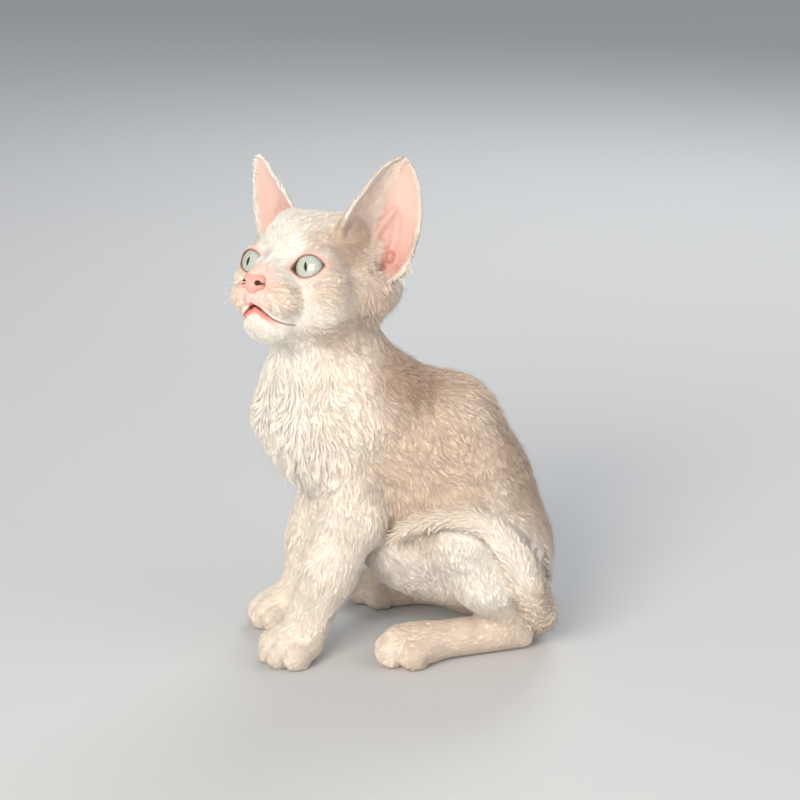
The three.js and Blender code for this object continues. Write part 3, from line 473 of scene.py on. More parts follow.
for which in (LEFT_EAR, RIGHT_EAR):
    reach = np.subtract(which["tip"], which["base"])
    which["length"] = np.linalg.norm(reach)
    ahead = np.array([math.cos(which["facing"]), math.sin(which["facing"]), 0])
    face = unit(ahead - unit(reach) * (ahead @ unit(reach)))
    which["axes"] = np.array([np.cross(unit(reach), face), face, unit(reach)])
    which["bowl"] = [(*ear_place(which, 4, 4.5, -0.1), 3.6), (*ear_place(which, 0, 7, 0.36), 13.5)]
    which["well"] = [(*ear_place(which, 5.5, 1.5, -0.08), 3.2), (*ear_place(which, 1, 3.5, 0.2), 8.4)]
    which["canal"] = [(*ear_place(which, 4, 0.5, -0.07), 2.3), (*ear_place(which, 3, -2, -0.3), 1.8)]
    which["knob"] = ear_place(which, 7.4, -2, -0.05)
    which["ridges"] = [[(*on_arc(which, angle, up), wide) for angle, up, wide in row] for row in EAR_RIDGES]


def own_side(places, which):
    return places * (1, which["side"], 1)


def in_ear(places, which):
    """Height from 0 to 1, angle round the arc, distance from its middle, its radius, across and forward."""
    across, forward, height = ((own_side(places, which) - which["base"]) @ which["axes"].T).T
    height = height / which["length"]
    radius = curve(which["radius"], height)
    across = across - curve(EAR_MIDDLE, height)
    forward = forward - 0.6 * radius
    return height, np.arctan2(across, -forward), np.hypot(across, forward), radius, across, forward


def ear(places, which):
    height, angle, distance, radius, across, forward = in_ear(places, which)
    inner = curve(which["inner"], height)
    outer = curve(which["outer"], height)
    to_inner = np.hypot(across + radius * np.sin(inner), forward + radius * np.cos(inner))
    to_outer = np.hypot(across - radius * np.sin(outer), forward + radius * np.cos(outer))
    on_sheet = (angle > -inner) & (angle < outer)
    sheet = np.where(on_sheet, abs(distance - radius), np.minimum(to_inner, to_outer))
    over = (np.maximum(height - 1, 0) + np.maximum(-0.35 - height, 0)) * which["length"]
    return np.hypot(sheet, over) - curve(EAR_THICKNESS, height)


def with_ears(places, whole):
    for which in (LEFT_EAR, RIGHT_EAR):
        mirrored = own_side(places, which)
        whole = carve(whole, limb(mirrored, which["bowl"], 1), 4)
        whole = carve(whole, limb(mirrored, which["well"], 1), 3)
        whole = join(whole, ear(places, which), 2.5)
        whole = carve(whole, limb(mirrored, which["canal"], 1), 1.6)
        whole = join(whole, egg(mirrored, which["knob"], KNOB_SIZE), 2.2)
        for ridge in which["ridges"]:
            whole = join(whole, limb(mirrored, ridge, 1), 1.2)
    return whole


# The skin: loose, thin and pale pink under the coat, in one piece from nose to tail. It lies under the tips
# of the coat by the coat's depth, as a fine net on the head and a wider one below, laced at the neck.
NECK_SEAM = 134.0
HEAD_CELL = 0.68
BODY_CELL = 1.5
NET_MARGIN = 1.5
SPOTS_AT_A_TIME = 200000
SOLE_GAP = 0.4
NECK_FILLET = 9
CREASE_FILLET = 2.2
TAIL_COAT = 1.1
BODY_CREASES = [
    [(4, -19, 122, 0.6), (5, -27, 104, 1.1), (1, -31, 83, 1.2), (-5, -34, 66, 0.6)],
    [(10, -20, 116, 0.5), (11.5, -29.5, 94, 1), (6, -33, 73, 0.7)],
    [(18, -26, 104, 0.4), (14.5, -31, 86, 0.9), (8, -34, 69, 0.5)],
    [(4, 19, 122, 0.6), (5, 27, 104, 1.1), (1, 31, 83, 1.2), (-5, 34, 66, 0.6)],
    [(12, 22, 112, 0.5), (13, 30, 92, 0.9), (7, 33, 72, 0.6)],
]
NECK_CREASES = [
    [(-42, -31, 148, 0.5), (-29, -27.5, 149.5, 1), (-19, -20, 150.5, 0.9), (-9.5, -11, 152, 0.3)],
    [(-42, -25, 141, 0.4), (-28, -24, 141.5, 0.9), (-17, -17.5, 142, 0.9), (-8, -8, 144, 0.5)],
]


def coat_depth(points, places):
    on_body = 0.8 + 1.4 * ease(10, 60, points[:, 2])
    on_head = 0.55 + 1.0 * ease(0, -30, places[:, 0])
    near = ease(44, 32, np.linalg.norm(places - (-8, 0, -2), axis=1))
    return on_body + (on_head - on_body) * near


def loose_skin(points, places, creases):
    """Trunk, legs, head and tail under their coat, with the creases of the loose skin."""
    whole = join(with_legs(points, trunk(points)), head_form(places), NECK_FILLET)
    whole = whole + coat_depth(points, places)
    for crease in creases:
        whole = carve(whole, limb(points, crease, 1), CREASE_FILLET)
    return join(whole, tail(points) + TAIL_COAT, 1.2)


def over_ground(points, whole):
    return carve(whole, points[:, 2] - SOLE_GAP, 1.2)


def lower_field(points):
    return over_ground(points, loose_skin(points, to_head(points), BODY_CREASES))


def skin_field(points):
    places = to_head(points)
    m = halves(places)
    whole = loose_skin(points, places, BODY_CREASES + NECK_CREASES)
    for fold, fillet in FOLDS:
        whole = carve(whole, limb(m, fold, 1), fillet)
    whole = carve(whole, limb(places, LIP_CLEFT, 1), 0.9)
    whole = carve(whole, almond(m), 0.7)
    whole = carve(whole, mouth(places), 0.7)
    whole = carve(whole, egg(m, NOSTRIL, (3.6, 2, 1.8)), 0.4)
    whole = carve(whole, egg(m, (24, 4.9, -9.2), (3.4, 2, 1.2)), 0.4)
    return over_ground(points, with_ears(places, whole))


def net(field, low, high, cell, block=4):
    """The field's zero surface as small squares, worked out only near the surface."""
    low = np.array(low, float)
    blocks = np.ceil((np.array(high) - low) / (cell * block)).astype(int)
    middles = [low[n] + (np.arange(blocks[n]) + 0.5) * cell * block for n in range(3)]
    rough = field(np.stack(np.meshgrid(*middles, indexing="ij"), -1).reshape(-1, 3)).reshape(blocks)
    size = blocks * block + 1
    sign = np.sign(rough)
    for axis in range(3):
        sign = np.repeat(sign, block, axis)
    value = np.pad(sign, ((0, 1),) * 3, mode="edge") * 1e3
    steps = np.stack(np.meshgrid(*[np.arange(block + 1)] * 3, indexing="ij"), -1).reshape(-1, 3)
    near = np.argwhere(abs(rough) < cell * block * 1.3 + NET_MARGIN)
    wanted = np.zeros(size, bool)
    wanted[tuple((near[:, None] * block + steps).reshape(-1, 3).T)] = True
    spots = np.argwhere(wanted)
    for part in np.array_split(spots, max(1, len(spots) // SPOTS_AT_A_TIME)):
        value[tuple(part.T)] = field(low + part * cell)
    inside = value < 0
    count = np.zeros(size - 1, np.int8)
    corners = [(i, j, k) for i in (0, 1) for j in (0, 1) for k in (0, 1)]
    for i, j, k in corners:
        count += inside[i : size[0] - 1 + i, j : size[1] - 1 + j, k : size[2] - 1 + k]
    cells = np.argwhere((count > 0) & (count < 8))
    number = np.full(count.shape, -1)
    number[tuple(cells.T)] = np.arange(len(cells))
    total = np.zeros((len(cells), 3))
    crossings = np.zeros(len(cells))
    for corner in corners:
        here = value[tuple((cells + corner).T)]
        for axis in range(3):
            if corner[axis]:
                continue
            ahead = np.eye(3, dtype=int)[axis]
            there = value[tuple((cells + corner + ahead).T)]
            cut = (here < 0) != (there < 0)
            place = corner + np.where(cut, here / np.where(cut, here - there, 1), 0)[:, None] * ahead
            total[cut] += place[cut]
            crossings += cut
    points = low + (cells + total / crossings[:, None]) * cell
    faces = []
    for axis in range(3):
        side, other = (axis + 1) % 3, (axis + 2) % 3
        core = [slice(1, -1)] * 3
        core[axis] = slice(0, -1)
        past = core.copy()
        past[axis] = slice(1, None)
        here = inside[tuple(core)]
        edges = np.argwhere(here != inside[tuple(past)])
        leaving = here[tuple(edges.T)]
        edges[:, [side, other]] += 1
        around = []
        for a, b in ((-1, -1), (0, -1), (0, 0), (-1, 0)):
            beside = edges.copy()
            beside[:, side] += a
            beside[:, other] += b
            around.append(number[tuple(beside.T)])
        around = np.stack(around, 1)
        faces.append(np.where(leaving[:, None], around, around[:, ::-1]))
    return points, np.concatenate(faces)


def slope_of(field, points, reach=0.12):
    ways = np.eye(3) * reach
    return np.stack([field(points + way) - field(points - way) for way in ways], 1) / (2 * reach)


def settled(field, points, turns=2):
    """The net's points moved onto the surface itself."""
    for turn in range(turns):
        slope = slope_of(field, points)
        steep = np.maximum((slope**2).sum(1), 0.08)
        points = points - slope * (np.clip(field(points), -1, 1) / steep)[:, None]
    return points


def open_ring(faces):
    edges = np.concatenate([faces[:, [n, (n + 1) % 4]] for n in range(4)]).tolist()
    known = set(map(tuple, edges))
    follows = {a: b for a, b in edges if (b, a) not in known}
    ring = [next(iter(follows))]
    while follows[ring[-1]] != ring[0]:
        ring.append(follows[ring[-1]])
    return ring


def laced(points, lower, upper):
    """The triangles between two open rings, one over the other."""
    upper = upper[::-1]
    start = int(np.argmin(np.linalg.norm(points[upper] - points[lower[0]], axis=1)))
    upper = upper[start:] + upper[: start + 1]
    lower = [*lower, lower[0]]
    i = j = 0
    faces = []
    while i + 1 < len(lower) or j + 1 < len(upper):
        over = under = np.inf
        if i + 1 < len(lower):
            over = np.linalg.norm(points[lower[i + 1]] - points[upper[j]])
        if j + 1 < len(upper):
            under = np.linalg.norm(points[lower[i]] - points[upper[j + 1]])
        if over < under:
            faces.append((lower[i + 1], lower[i], upper[j]))
            i += 1
        else:
            faces.append((upper[j], upper[j + 1], lower[i]))
            j += 1
    return faces


head_points, head_faces = net(skin_field, (-86, -56, NECK_SEAM), (26, 50, 220), HEAD_CELL)
body_low = NECK_SEAM - 92 * BODY_CELL  # whole cells down from the seam to below the floor
body_points, body_faces = net(lower_field, (-72, -60, body_low), (74, 60, NECK_SEAM), BODY_CELL)
head_points = settled(skin_field, head_points)
body_points = settled(lower_field, body_points)
lower_ring = open_ring(body_faces)
upper_ring = [n + len(body_points) for n in open_ring(head_faces)]
skin_points = np.concatenate([body_points, head_points])
lacing = laced(skin_points, lower_ring, upper_ring)
skin_squares = np.concatenate([body_faces, head_faces + len(body_points)])
skin_faces = [*skin_squares.tolist(), *lacing]

# The colours of coat and skin: near white on the chest, cream on face and legs, tan over the back, flanks,
# nape and outer ears, and bare pink skin at the nose, lips, lids and inside the ears. Part of the deeper
# tan on head, neck, withers, rump and feet and of the deeper pink in the ears is painted shade, and part of
# the near thigh's white is painted light.


def tone(code):
    return np.array(linear(code))


def blend(colour, other, share):
    return colour + (other - colour) * np.asarray(share)[:, None]


CREAM = tone("F6EADC")
WHITE = tone("FAF4EA")
TAN = tone("C9AF99")
# A deep tan that is partly the coat's own colour and partly painted shade.
DEEP_TAN_AND_SHADE = tone("A78B76")
ASH = tone("E6DFDE")
PINK = tone("F0C4B8")
EAR_PINK = tone("E7C5BA")
EAR_FUR = tone("FDEADB")
# Deeper pink, partly the ear's own colour and partly painted shade in its hollow.
DEEP_EAR_AND_SHADE = tone("C4857B")
CANAL_BROWN_AND_SHADE = tone("7E4A3E")
LIP = tone("E2897F")
MOUTH_RED = tone("6A201F")
LID_RIM = tone("8A6156")
FOLLICLE = tone("C98F55")
BACK_STRIPE = [(-12, 0, 142, 10), (8, 0, 120, 18), (36, 0, 92, 20), (54, 0, 55, 18), (58, 0, 30, 12)]
FOLLICLES = [(21.5 - 2.3 * n - 0.5 * row, -9.6 - 2.1 * row) for row in range(5) for n in range(6)]
PADS_BELOW = 9
FUR_EDGE = [(-0.2, 4), (0.02, 3), (0.1, -1), (0.2, -2), (0.47, -2), (0.7, -1), (0.9, 0)]


def inside_ear(places, which):
    """Whether a place is in the ear's hollow, whether the front edge's fur is on it, how far the rim is."""
    height, angle, distance, radius, across, forward = in_ear(places, which)
    rims = np.minimum(angle + curve(which["inner"], height), curve(which["outer"], height) - angle) * radius
    hollow = ease(radius + 0.1, radius - 0.3, distance) * ease(0.4, 2.2, rims)
    hollow = hollow * ease(-0.3, -0.16, height) * (ear(places, which) < 3)
    furred = ease(1.5, -1.5, across + curve(EAR_MIDDLE, height) - curve(FUR_EDGE, height))
    return hollow, furred * (which["side"] > 0), rims


def bare_ear(places):
    """1 in the hollow of either ear where no fur grows."""
    bare = np.zeros(len(places))
    for which in (LEFT_EAR, RIGHT_EAR):
        mirrored = own_side(places, which)
        hollow, furred, rims = inside_ear(places, which)
        knob = ease(1.4, 0.5, egg(mirrored, which["knob"], KNOB_SIZE))
        canal = ease(2.4, 1, limb(mirrored, which["canal"], 1))
        bare = np.maximum.reduce([bare, hollow * (1 - furred), knob, canal])
    return bare


def leather_edge(places):
    return egg(places, (23.6, 0, -8.4), (5, 5.9, 4.6))


def whisker_pad(m):
    return ease(2.5, 0, egg(m, (15, 8.5, -14), (7, 8, 6.5)))


def toe_pads(points):
    """How far each place is outside the pads under the tips of the hind toes."""
    away = np.full(len(points), 99.0)
    for leg in (LEFT, RIGHT):
        axes = hind_axes(leg)
        for sideways, forward in HIND_TOES:
            centre = np.array(leg["toes"]) + np.array([forward + 4.6, sideways, 1]) @ axes
            away = np.minimum(away, egg(points, centre, (3, 2.6, 2.4), axes))
    return away


def bareness(points):
    """1 where the skin has no coat: lids, lips, the mouth, nose and the hollow of the ear."""
    places = to_head(points)
    m = halves(places)
    near_head = ease(48, 42, np.linalg.norm(places - (-6, 0, 4), axis=1))
    lids = ease(1.5, 0.7, almond(m))
    lips = ease(2.2, 0.9, mouth(places)) * ease(12, 9, m[:, 1])
    leather = ease(0.9, 0.1, leather_edge(places))
    pads = ease(0.8, -0.2, toe_pads(points)) * (points[:, 2] < PADS_BELOW)
    return np.clip(np.maximum(np.maximum.reduce([lids, lips, leather]) * near_head, pads), 0, 1)


def painted(colour, *coats):
    """A colour with others laid over it in turn, each by its share at every place."""
    for paint, share in coats:
        colour = blend(colour, paint, share)
    return colour


def mouth_colours(places, m, colour, on_head):
    slit = mouth(places)
    at_slit = ease(0.9, 0.2, slit)
    under = ease(0.4, -0.4, places[:, 2] - curve(MOUTH_HEIGHT, m[:, 1]))
    band = np.maximum(ease(3.2, 1.6, slit) * under * ease(10, 5, m[:, 1]), at_slit * ease(13, 9, m[:, 1]))
    inside = at_slit * ease(21.5, 19.5, m[:, 0])
    return painted(colour, (LIP, band * on_head), (MOUTH_RED, inside * on_head))


def ear_colours(places, colour):
    for which in (LEFT_EAR, RIGHT_EAR):
        mirrored = own_side(places, which)
        height = in_ear(places, which)[0]
        hollow, furred, rims = inside_ear(places, which)
        canal = limb(mirrored, which["canal"], 1)
        knob = egg(mirrored, which["knob"], KNOB_SIZE)
        # Deeper pink low in the hollow, round the canal and beside the ridges is partly the skin's own and
        # partly painted shade; the canal's brown is partly its own and partly painted shade in the hole.
        pink = painted(
            np.tile(EAR_PINK, (len(places), 1)),
            (DEEP_EAR_AND_SHADE, 0.3 * ease(0.6, 0.2, height) + 0.4 * ease(0.2, -0.15, height)),
            (DEEP_EAR_AND_SHADE, ease(4, -1, canal) * ease(0.5, 2, knob)),
            (CANAL_BROWN_AND_SHADE, 0.85 * ease(2.2, 0.2, canal) * ease(0.2, 1, knob)),
        )
        for ridge in which["ridges"]:
            away = limb(mirrored, ridge, 1)
            pink = blend(pink, DEEP_EAR_AND_SHADE, 0.3 * ease(2.4, 0.8, away) * ease(0, 0.6, away))
        # The fur band turns deep tan at its base, partly painted shade.
        pink = painted(pink, (EAR_FUR, 0.95 * furred), (DEEP_TAN_AND_SHADE, 0.4 * furred * ease(0.4, 0.1, height)))
        outer = 0.65 * ease(3, 1, ear(places, which)) * ease(-0.15, 0.1, height) * ease(1.1, 0.7, height)
        colour = painted(
            colour,
            (TAN, outer * np.maximum(ease(0.5, 4.5, rims), ease(0.35, 0.1, height))),
            (pink, hollow),
            (DEEP_EAR_AND_SHADE, 0.5 * ease(1.2, 0.3, knob)),
        )
    return colour


def head_colours(places, m, colour, on_head):
    # Cheek, brow, temple and jowl are tanner, partly in the coat and partly as painted shade where the head
    # turns from the lamp; the tan along the folds is painted shade in their creases.
    cheek = 0.5 * ease(6, -3, egg(m, (1, 23, -5), (10, 6, 9)))
    brow = 0.55 * ease(4, -2, egg(m, (1, 15, 10.5), (7, 6, 5)))
    temple_spot = 0.6 * ease(4, -3, egg(m, (-9, 21, 7.5), (5, 5, 5.5)))
    temple = 0.8 * ease(7, -3, egg(m, (-14, 19, 11), (9, 7, 9)))
    jowl = 0.6 * ease(6, -4, egg(m, (-20, 26, -6), (10, 6, 12)))
    fold = 0.3 * ease(2.6, 0.4, np.minimum(*[limb(m, row, 1) for row, fillet in FOLDS]))
    gap = np.linalg.norm(m[:, None, [0, 2]] - FOLLICLES, axis=2).min(1)
    pad = whisker_pad(m) * (m[:, 1] > 5.5)
    muzzle = ease(5, 0, egg(places, (22.5, 0, -10.5), (7, 6.3, 7.5)))
    return painted(
        colour,
        (TAN, np.maximum(cheek, brow)),
        (DEEP_TAN_AND_SHADE, temple_spot),
        (TAN, np.maximum.reduce([temple, jowl, fold])),
        (FOLLICLE, (0.12 + 0.25 * ease(1.1, 0.3, gap)) * pad),
        (PINK, 0.75 * muzzle),
        (PINK, 0.7 * ease(3.2, 1, almond(m)) * on_head),
        (LID_RIM, ease(1.1, 0.4, almond(m)) * on_head),
    )


def body_colours(points, body, on_head):
    belly = egg(body, (8, 8, 42), (26, 22, 16))
    stripe = 0.85 * ease(17, -8, limb(points, BACK_STRIPE, 5))
    flank = 0.75 * ease(14, -8, egg(body, (10, 25, 88), (26, 16, 30)))
    nape = 0.8 * ease(10, -4, egg(points, (-12, 0, 150), (17, 20, 16)))
    # Along the side of the neck under the jaw the tan is partly painted shade.
    nape = np.maximum(nape, 0.6 * ease(6, -4, egg(body, (-29, 22, 147), (15, 10, 10))))
    # Saddle, throat and rump: deep tan, partly the coat's own and partly painted shade where the light
    # falls away.
    saddle = 0.8 * ease(11, -5, egg(body, (-1, 12, 121), (15, 18, 11)))
    throat = 0.8 * ease(6, -4, egg(body, (-25, 21, 144), (14, 10, 8)))
    rump = 0.5 * ease(10, -4, egg(body, (54, 12, 72), (16, 22, 34)))
    # The thigh is whiter, more on the near side that faces the lamp: partly its own colour and partly
    # painted light.
    thigh = egg(body, (27, 46, 46), (20, 10, 20))
    # The feet turn tan towards the floor, partly painted shade.
    hind_feet = 0.45 * ease(26, 14, points[:, 2]) * ease(-16, 0, points[:, 0])
    feet = np.maximum(hind_feet, 0.15 * ease(24, 12, points[:, 2]))
    return painted(
        np.tile(CREAM, (len(points), 1)),
        (WHITE, ease(-30, -52, points[:, 0]) * ease(50, 80, points[:, 2])),
        (PINK, 0.9 * ease(1.2, 0, toe_pads(points)) * (points[:, 2] < PADS_BELOW)),
        (ASH, 0.6 * ease(10, -4, belly) * ease(60, 40, points[:, 2])),
        (TAN, np.maximum.reduce([stripe, flank, nape]) * (1 - on_head * 0.5)),
        (CREAM + (TAN - CREAM) * 0.35, 0.85 * ease(2, 0.5, tail(points))),
        (DEEP_TAN_AND_SHADE, np.maximum.reduce([saddle, throat, rump]) * (1 - on_head * 0.5)),
        (WHITE, np.where(points[:, 1] < 0, 0.8, 0.4) * ease(8, -2, thigh)),
        (TAN, feet * ease(0.5, 3, tail(points))),
    )


def colours_of(points):
    places = to_head(points)
    m = halves(places)
    on_head = ease(50, 40, np.linalg.norm(places - (-8, 0, 2), axis=1))
    colour = body_colours(points, halves(points), on_head)
    colour = head_colours(places, m, colour, on_head)
    colour = mouth_colours(places, m, colour, on_head)
    return ear_colours(places, colour)


# The skin as one piece, laid out flat part by part so that its colours can be baked.
TRUNK, HEAD, LEFT_FORE, LEFT_HIND, RIGHT_FORE, RIGHT_HIND, TAIL, NEAR_EAR, FAR_EAR = range(9)
CHART_MARGIN = 1.5
CAVITY_REACH = 1.7


def parts_of(points):
    """Which part of the kitten each place is on."""
    places = to_head(points)
    m = halves(places)
    away = [trunk(points), head_form(places)]
    for leg in (LEFT, RIGHT):
        away.append(np.minimum(limb(points, leg["fore"], 8), front_paw(points, leg)))
        away.append(np.minimum(limb(points, leg["shin"], 8), hind_foot(points, leg)))
    away.append(tail(points) - 0.5)
    part = np.argmin(away, 0)
    for n, which in ((NEAR_EAR, LEFT_EAR), (FAR_EAR, RIGHT_EAR)):
        part = np.where((ear(places, which) < 1.6) & (in_ear(places, which)[0] > -0.02), n, part)
    return part


def laid_flat(points, facing, part):
    """Each place's spot on a flat layout, with the six sides of every part one beside the other."""
    axis = abs(facing).argmax(1)
    towards = np.take_along_axis(facing, axis[:, None], 1)[:, 0] > 0
    chart = (part * 3 + axis) * 2 + towards
    flat = np.empty((len(points), 2))
    for n in range(3):
        flat[axis == n] = points[axis == n][:, [(n + 1) % 3, (n + 2) % 3]]
    boxes = []
    for name in np.unique(chart):
        inside = flat[chart == name]
        boxes.append((name, inside.min(0), np.ptp(inside, axis=0) + CHART_MARGIN))
    boxes.sort(key=lambda box: -box[2][1])
    width = 1.1 * math.sqrt(sum(size[0] * size[1] for name, low, size in boxes))
    across = up = shelf = 0
    for name, low, size in boxes:
        if across + size[0] > width and across > 0:
            across, up, shelf = 0, up + shelf, 0
        flat[chart == name] += (across, up) - low + 0.7
        across += size[0]
        shelf = max(shelf, size[1])
        width = max(width, across)
    return flat / (width, up + shelf)


def normals_of(points, faces):
    corners = points[faces]
    facing = np.cross(corners[:, 2] - corners[:, 0], corners[:, -1] - corners[:, 1])
    return facing / np.maximum(np.linalg.norm(facing, axis=1), 1e-9)[:, None]


def outward_at(points):
    way = slope_of(skin_field, points, 0.5)
    return way / np.maximum(np.linalg.norm(way, axis=1), 1e-6)[:, None]


def cavity(points, out):
    """How deep in a crease each place is, from 0 in the open to 1."""
    return ease(0.2, 0.8, 1 - skin_field(points + CAVITY_REACH * out) / CAVITY_REACH)


def dressed(mesh, surface, maps=(), tints=(), floats=()):
    """A mesh with its flat maps by corner, its tints and floats by point, and its material."""
    for key, values in dict(maps).items():
        mesh.uv_layers.new(name=key).uv.foreach_set("vector", np.asarray(values, np.float32).ravel())
    for key, values in dict(tints).items():
        colours = np.column_stack([values, np.ones(len(values))]).astype(np.float32)
        mesh.attributes.new(key, "FLOAT_COLOR", "POINT").data.foreach_set("color", colours.ravel())
    for key, values in dict(floats).items():
        mesh.attributes.new(key, "FLOAT", "POINT").data.foreach_set("value", np.asarray(values, np.float32))
    mesh.materials.append(surface)
    return mesh


def mesh_piece(name, points, faces, surface, *layers):
    """A smooth piece from places in mm."""
    mesh = bpy.data.meshes.new(name)
    mesh.from_pydata((points - MIDDLE) * MM, [], faces)
    dressed(mesh, surface, *layers).shade_smooth()
    return placed(bpy.data.objects.new(name, mesh))


# Living skin: thin, faintly oily and warm, with fine creases every third of a millimetre. Under the coat it
# only shows as a soft, shaded ground of the coat's own colour.
thin_skin, tree = material("thin_kitten_skin")
bare = attribute(tree, "bare")
patches = ranged(tree, noise(tree, 140.0, 3.0), 0.93, 1.04)
finished(
    tree,
    {"IOR": 1.42, "Subsurface Weight": 0.12, "Subsurface Scale": 0.0015,
     "Subsurface Radius": (1.0, 0.35, 0.2)},
    Base_Color=scaled(tree, attribute(tree, "tint", "Color"), patches),
    Roughness=ranged(tree, bare, 0.85, 0.5),
    Normal=relief(tree, noise(tree, 3000.0, 2.0), 0.35, 0.00012),
)

lacing = np.array(lacing)
triangles = np.concatenate([skin_squares[:, [0, 1, 2]], skin_squares[:, [0, 2, 3]], lacing])
face_normals = np.concatenate([normals_of(skin_points, faces) for faces in (skin_squares, lacing)])
face_middles = np.concatenate([skin_points[faces].mean(1) for faces in (skin_squares, lacing)])
corner_points = np.concatenate([skin_squares.ravel(), lacing.ravel()])
corner_faces = np.repeat(np.arange(len(skin_faces)), [4] * len(skin_squares) + [3] * len(lacing))
face_parts = parts_of(face_middles)
skin_map = laid_flat(skin_points[corner_points], face_normals[corner_faces], face_parts[corner_faces])
bare_points = np.maximum(bareness(skin_points), bare_ear(to_head(skin_points)))
shadows = 1 - 0.35 * cavity(skin_points, outward_at(skin_points)) * (1 - bare_points)
skin = mesh_piece(
    "kitten_skin",
    skin_points,
    skin_faces,
    thin_skin,
    {"OFBake": skin_map},
    {"tint": colours_of(skin_points) * shadows[:, None]},
    {"bare": bare_points},
)
FLESH = [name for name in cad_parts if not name.startswith(("eye", "nose"))]
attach(skin, "root")
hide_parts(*FLESH)

# The eyes: wet balls under a clear cornea that bulges over a pale blue-green iris with fine radial fibres,
# a narrow upright pupil and a dark outer edge, partly painted shadow of the lids. Each turns a little
# outwards and sits deep between its lids.
CORNEA_BULGE = 0.55
EYE_RINGS = 40
EYE_STEPS = 64
BALL_RADIUS = EYE_RADIUS - 0.1


def eye_ball(name, side):
    angles = np.linspace(0, math.pi, EYE_RINGS + 1)[1:-1]
    turns = np.arange(EYE_STEPS) * 2 * math.pi / EYE_STEPS
    bulge = CORNEA_BULGE * ease(math.radians(50), math.radians(24), angles)
    forward = np.repeat((BALL_RADIUS + bulge) * np.cos(angles), EYE_STEPS)
    aside = np.repeat((BALL_RADIUS + bulge) * np.sin(angles), EYE_STEPS)
    out, up = (np.tile(way(turns), len(angles)) for way in (np.cos, np.sin))
    rings = np.column_stack([forward, aside * out, aside * up])
    local = np.vstack([rings, (BALL_RADIUS + CORNEA_BULGE, 0, 0), (-BALL_RADIUS, 0, 0)])
    rim = [(step, (step + 1) % EYE_STEPS) for step in range(EYE_STEPS)]
    last = (len(angles) - 1) * EYE_STEPS
    faces = [
        (ring + step, ring + step + EYE_STEPS, ring + beside + EYE_STEPS, ring + beside)
        for ring in range(0, last, EYE_STEPS)
        for step, beside in rim
    ]
    faces += [(len(rings), step, beside) for step, beside in rim]
    faces += [(len(rings) + 1, last + beside, last + step) for step, beside in rim]
    places = EYE_CENTRE + local @ EYE_AXES
    if side < 0:
        places = places * (1, -1, 1)
        faces = [face[::-1] for face in faces]
    corners = np.concatenate([np.array(face) for face in faces])
    disc = local[corners][:, 1:] / (2 * EYE_RADIUS) + 0.5
    made = mesh_piece(name, from_head(places), faces, wet_eye, {"disc": disc})
    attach(made, "root")
    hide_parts("eye_left" if side > 0 else "eye_right")


def vector_node(operation, value=None, socket=1, **links):
    made = node(tree, "ShaderNodeVectorMath", {"operation": operation}, **links)
    if value is not None:
        made.inputs[socket].default_value = value
    return made.outputs["Value" if operation == "LENGTH" else 0]


# A living cornea: clear and wet, IOR 1.38, so it mirrors the lamps sharply over the matt, fibrous iris.
wet_eye, tree = material("wet_cornea_over_iris")
disc = node(tree, "ShaderNodeUVMap", {"uv_map": "disc"}).outputs[0]
centred = vector_node("SUBTRACT", (0.5, 0.5, 0), _0=disc)
in_mm = vector_node("SCALE", 2 * EYE_RADIUS, "Scale", _0=centred)
from_middle = vector_node("LENGTH", _0=in_mm)
rayed = vector_node("MULTIPLY_ADD", (0.03, 0.03, 0.03), _0=in_mm, _2=vector_node("NORMALIZE", _0=in_mm))
fibres = noise(tree, 13.0, 4.0, rayed)
share = node(tree, "ShaderNodeMath", {"operation": "DIVIDE"}, _0=from_middle)
share.inputs[1].default_value = EYE_RADIUS
iris = node(tree, "ShaderNodeValToRGB", _0=share.outputs[0])
# Beyond the iris the ball is dark brown, partly its own colour and partly painted shadow of the lids.
IRIS_RINGS = [
    (0.05, "999C90"), (0.16, "C6C9BB"), (0.45, "C1C9C1"), (0.62, "AEB6B1"), (0.7, "757C78"),
    (0.745, "3B3431"), (0.9, "54423D"),
]
for n, (place, code) in enumerate(IRIS_RINGS):
    stop = iris.color_ramp.elements[n] if n < 2 else iris.color_ramp.elements.new(place)
    stop.position = place
    stop.color = (*linear(code), 1)
FIBRE_SHADES = {"From Min": 0.3, "From Max": 0.7, "To Min": 0.72, "To Max": 1.12}
grained = node(tree, "ShaderNodeMapRange", FIBRE_SHADES, Value=fibres).outputs[0]
PUPIL_RADII = (0.62, 2.0)
slimmed = vector_node("MULTIPLY", (1 / PUPIL_RADII[0], 1 / PUPIL_RADII[1], 0), _0=in_mm)
slit = vector_node("LENGTH", _0=slimmed)
in_pupil = node(tree, "ShaderNodeMapRange", {"From Min": 1.12, "From Max": 0.88}, Value=slit).outputs[0]
finished(
    tree,
    {"Roughness": 0.35, "IOR": 1.38, "Coat Weight": 1.0, "Coat Roughness": 0.015, "Coat IOR": 1.38},
    Base_Color=mixed(tree, in_pupil, scaled(tree, iris.outputs[0], grained), "0B0C0D"),
    Normal=relief(tree, fibres, 0.15, 0.0001),
)
eye_ball("left_eye_ball", 1)
eye_ball("right_eye_ball", -1)

# The nose: bare pink leather with a groove down its middle and two nostrils that curl outwards, in a
# piece of its own that stands a little over the skin round it.
NOSE_CELL = 0.3


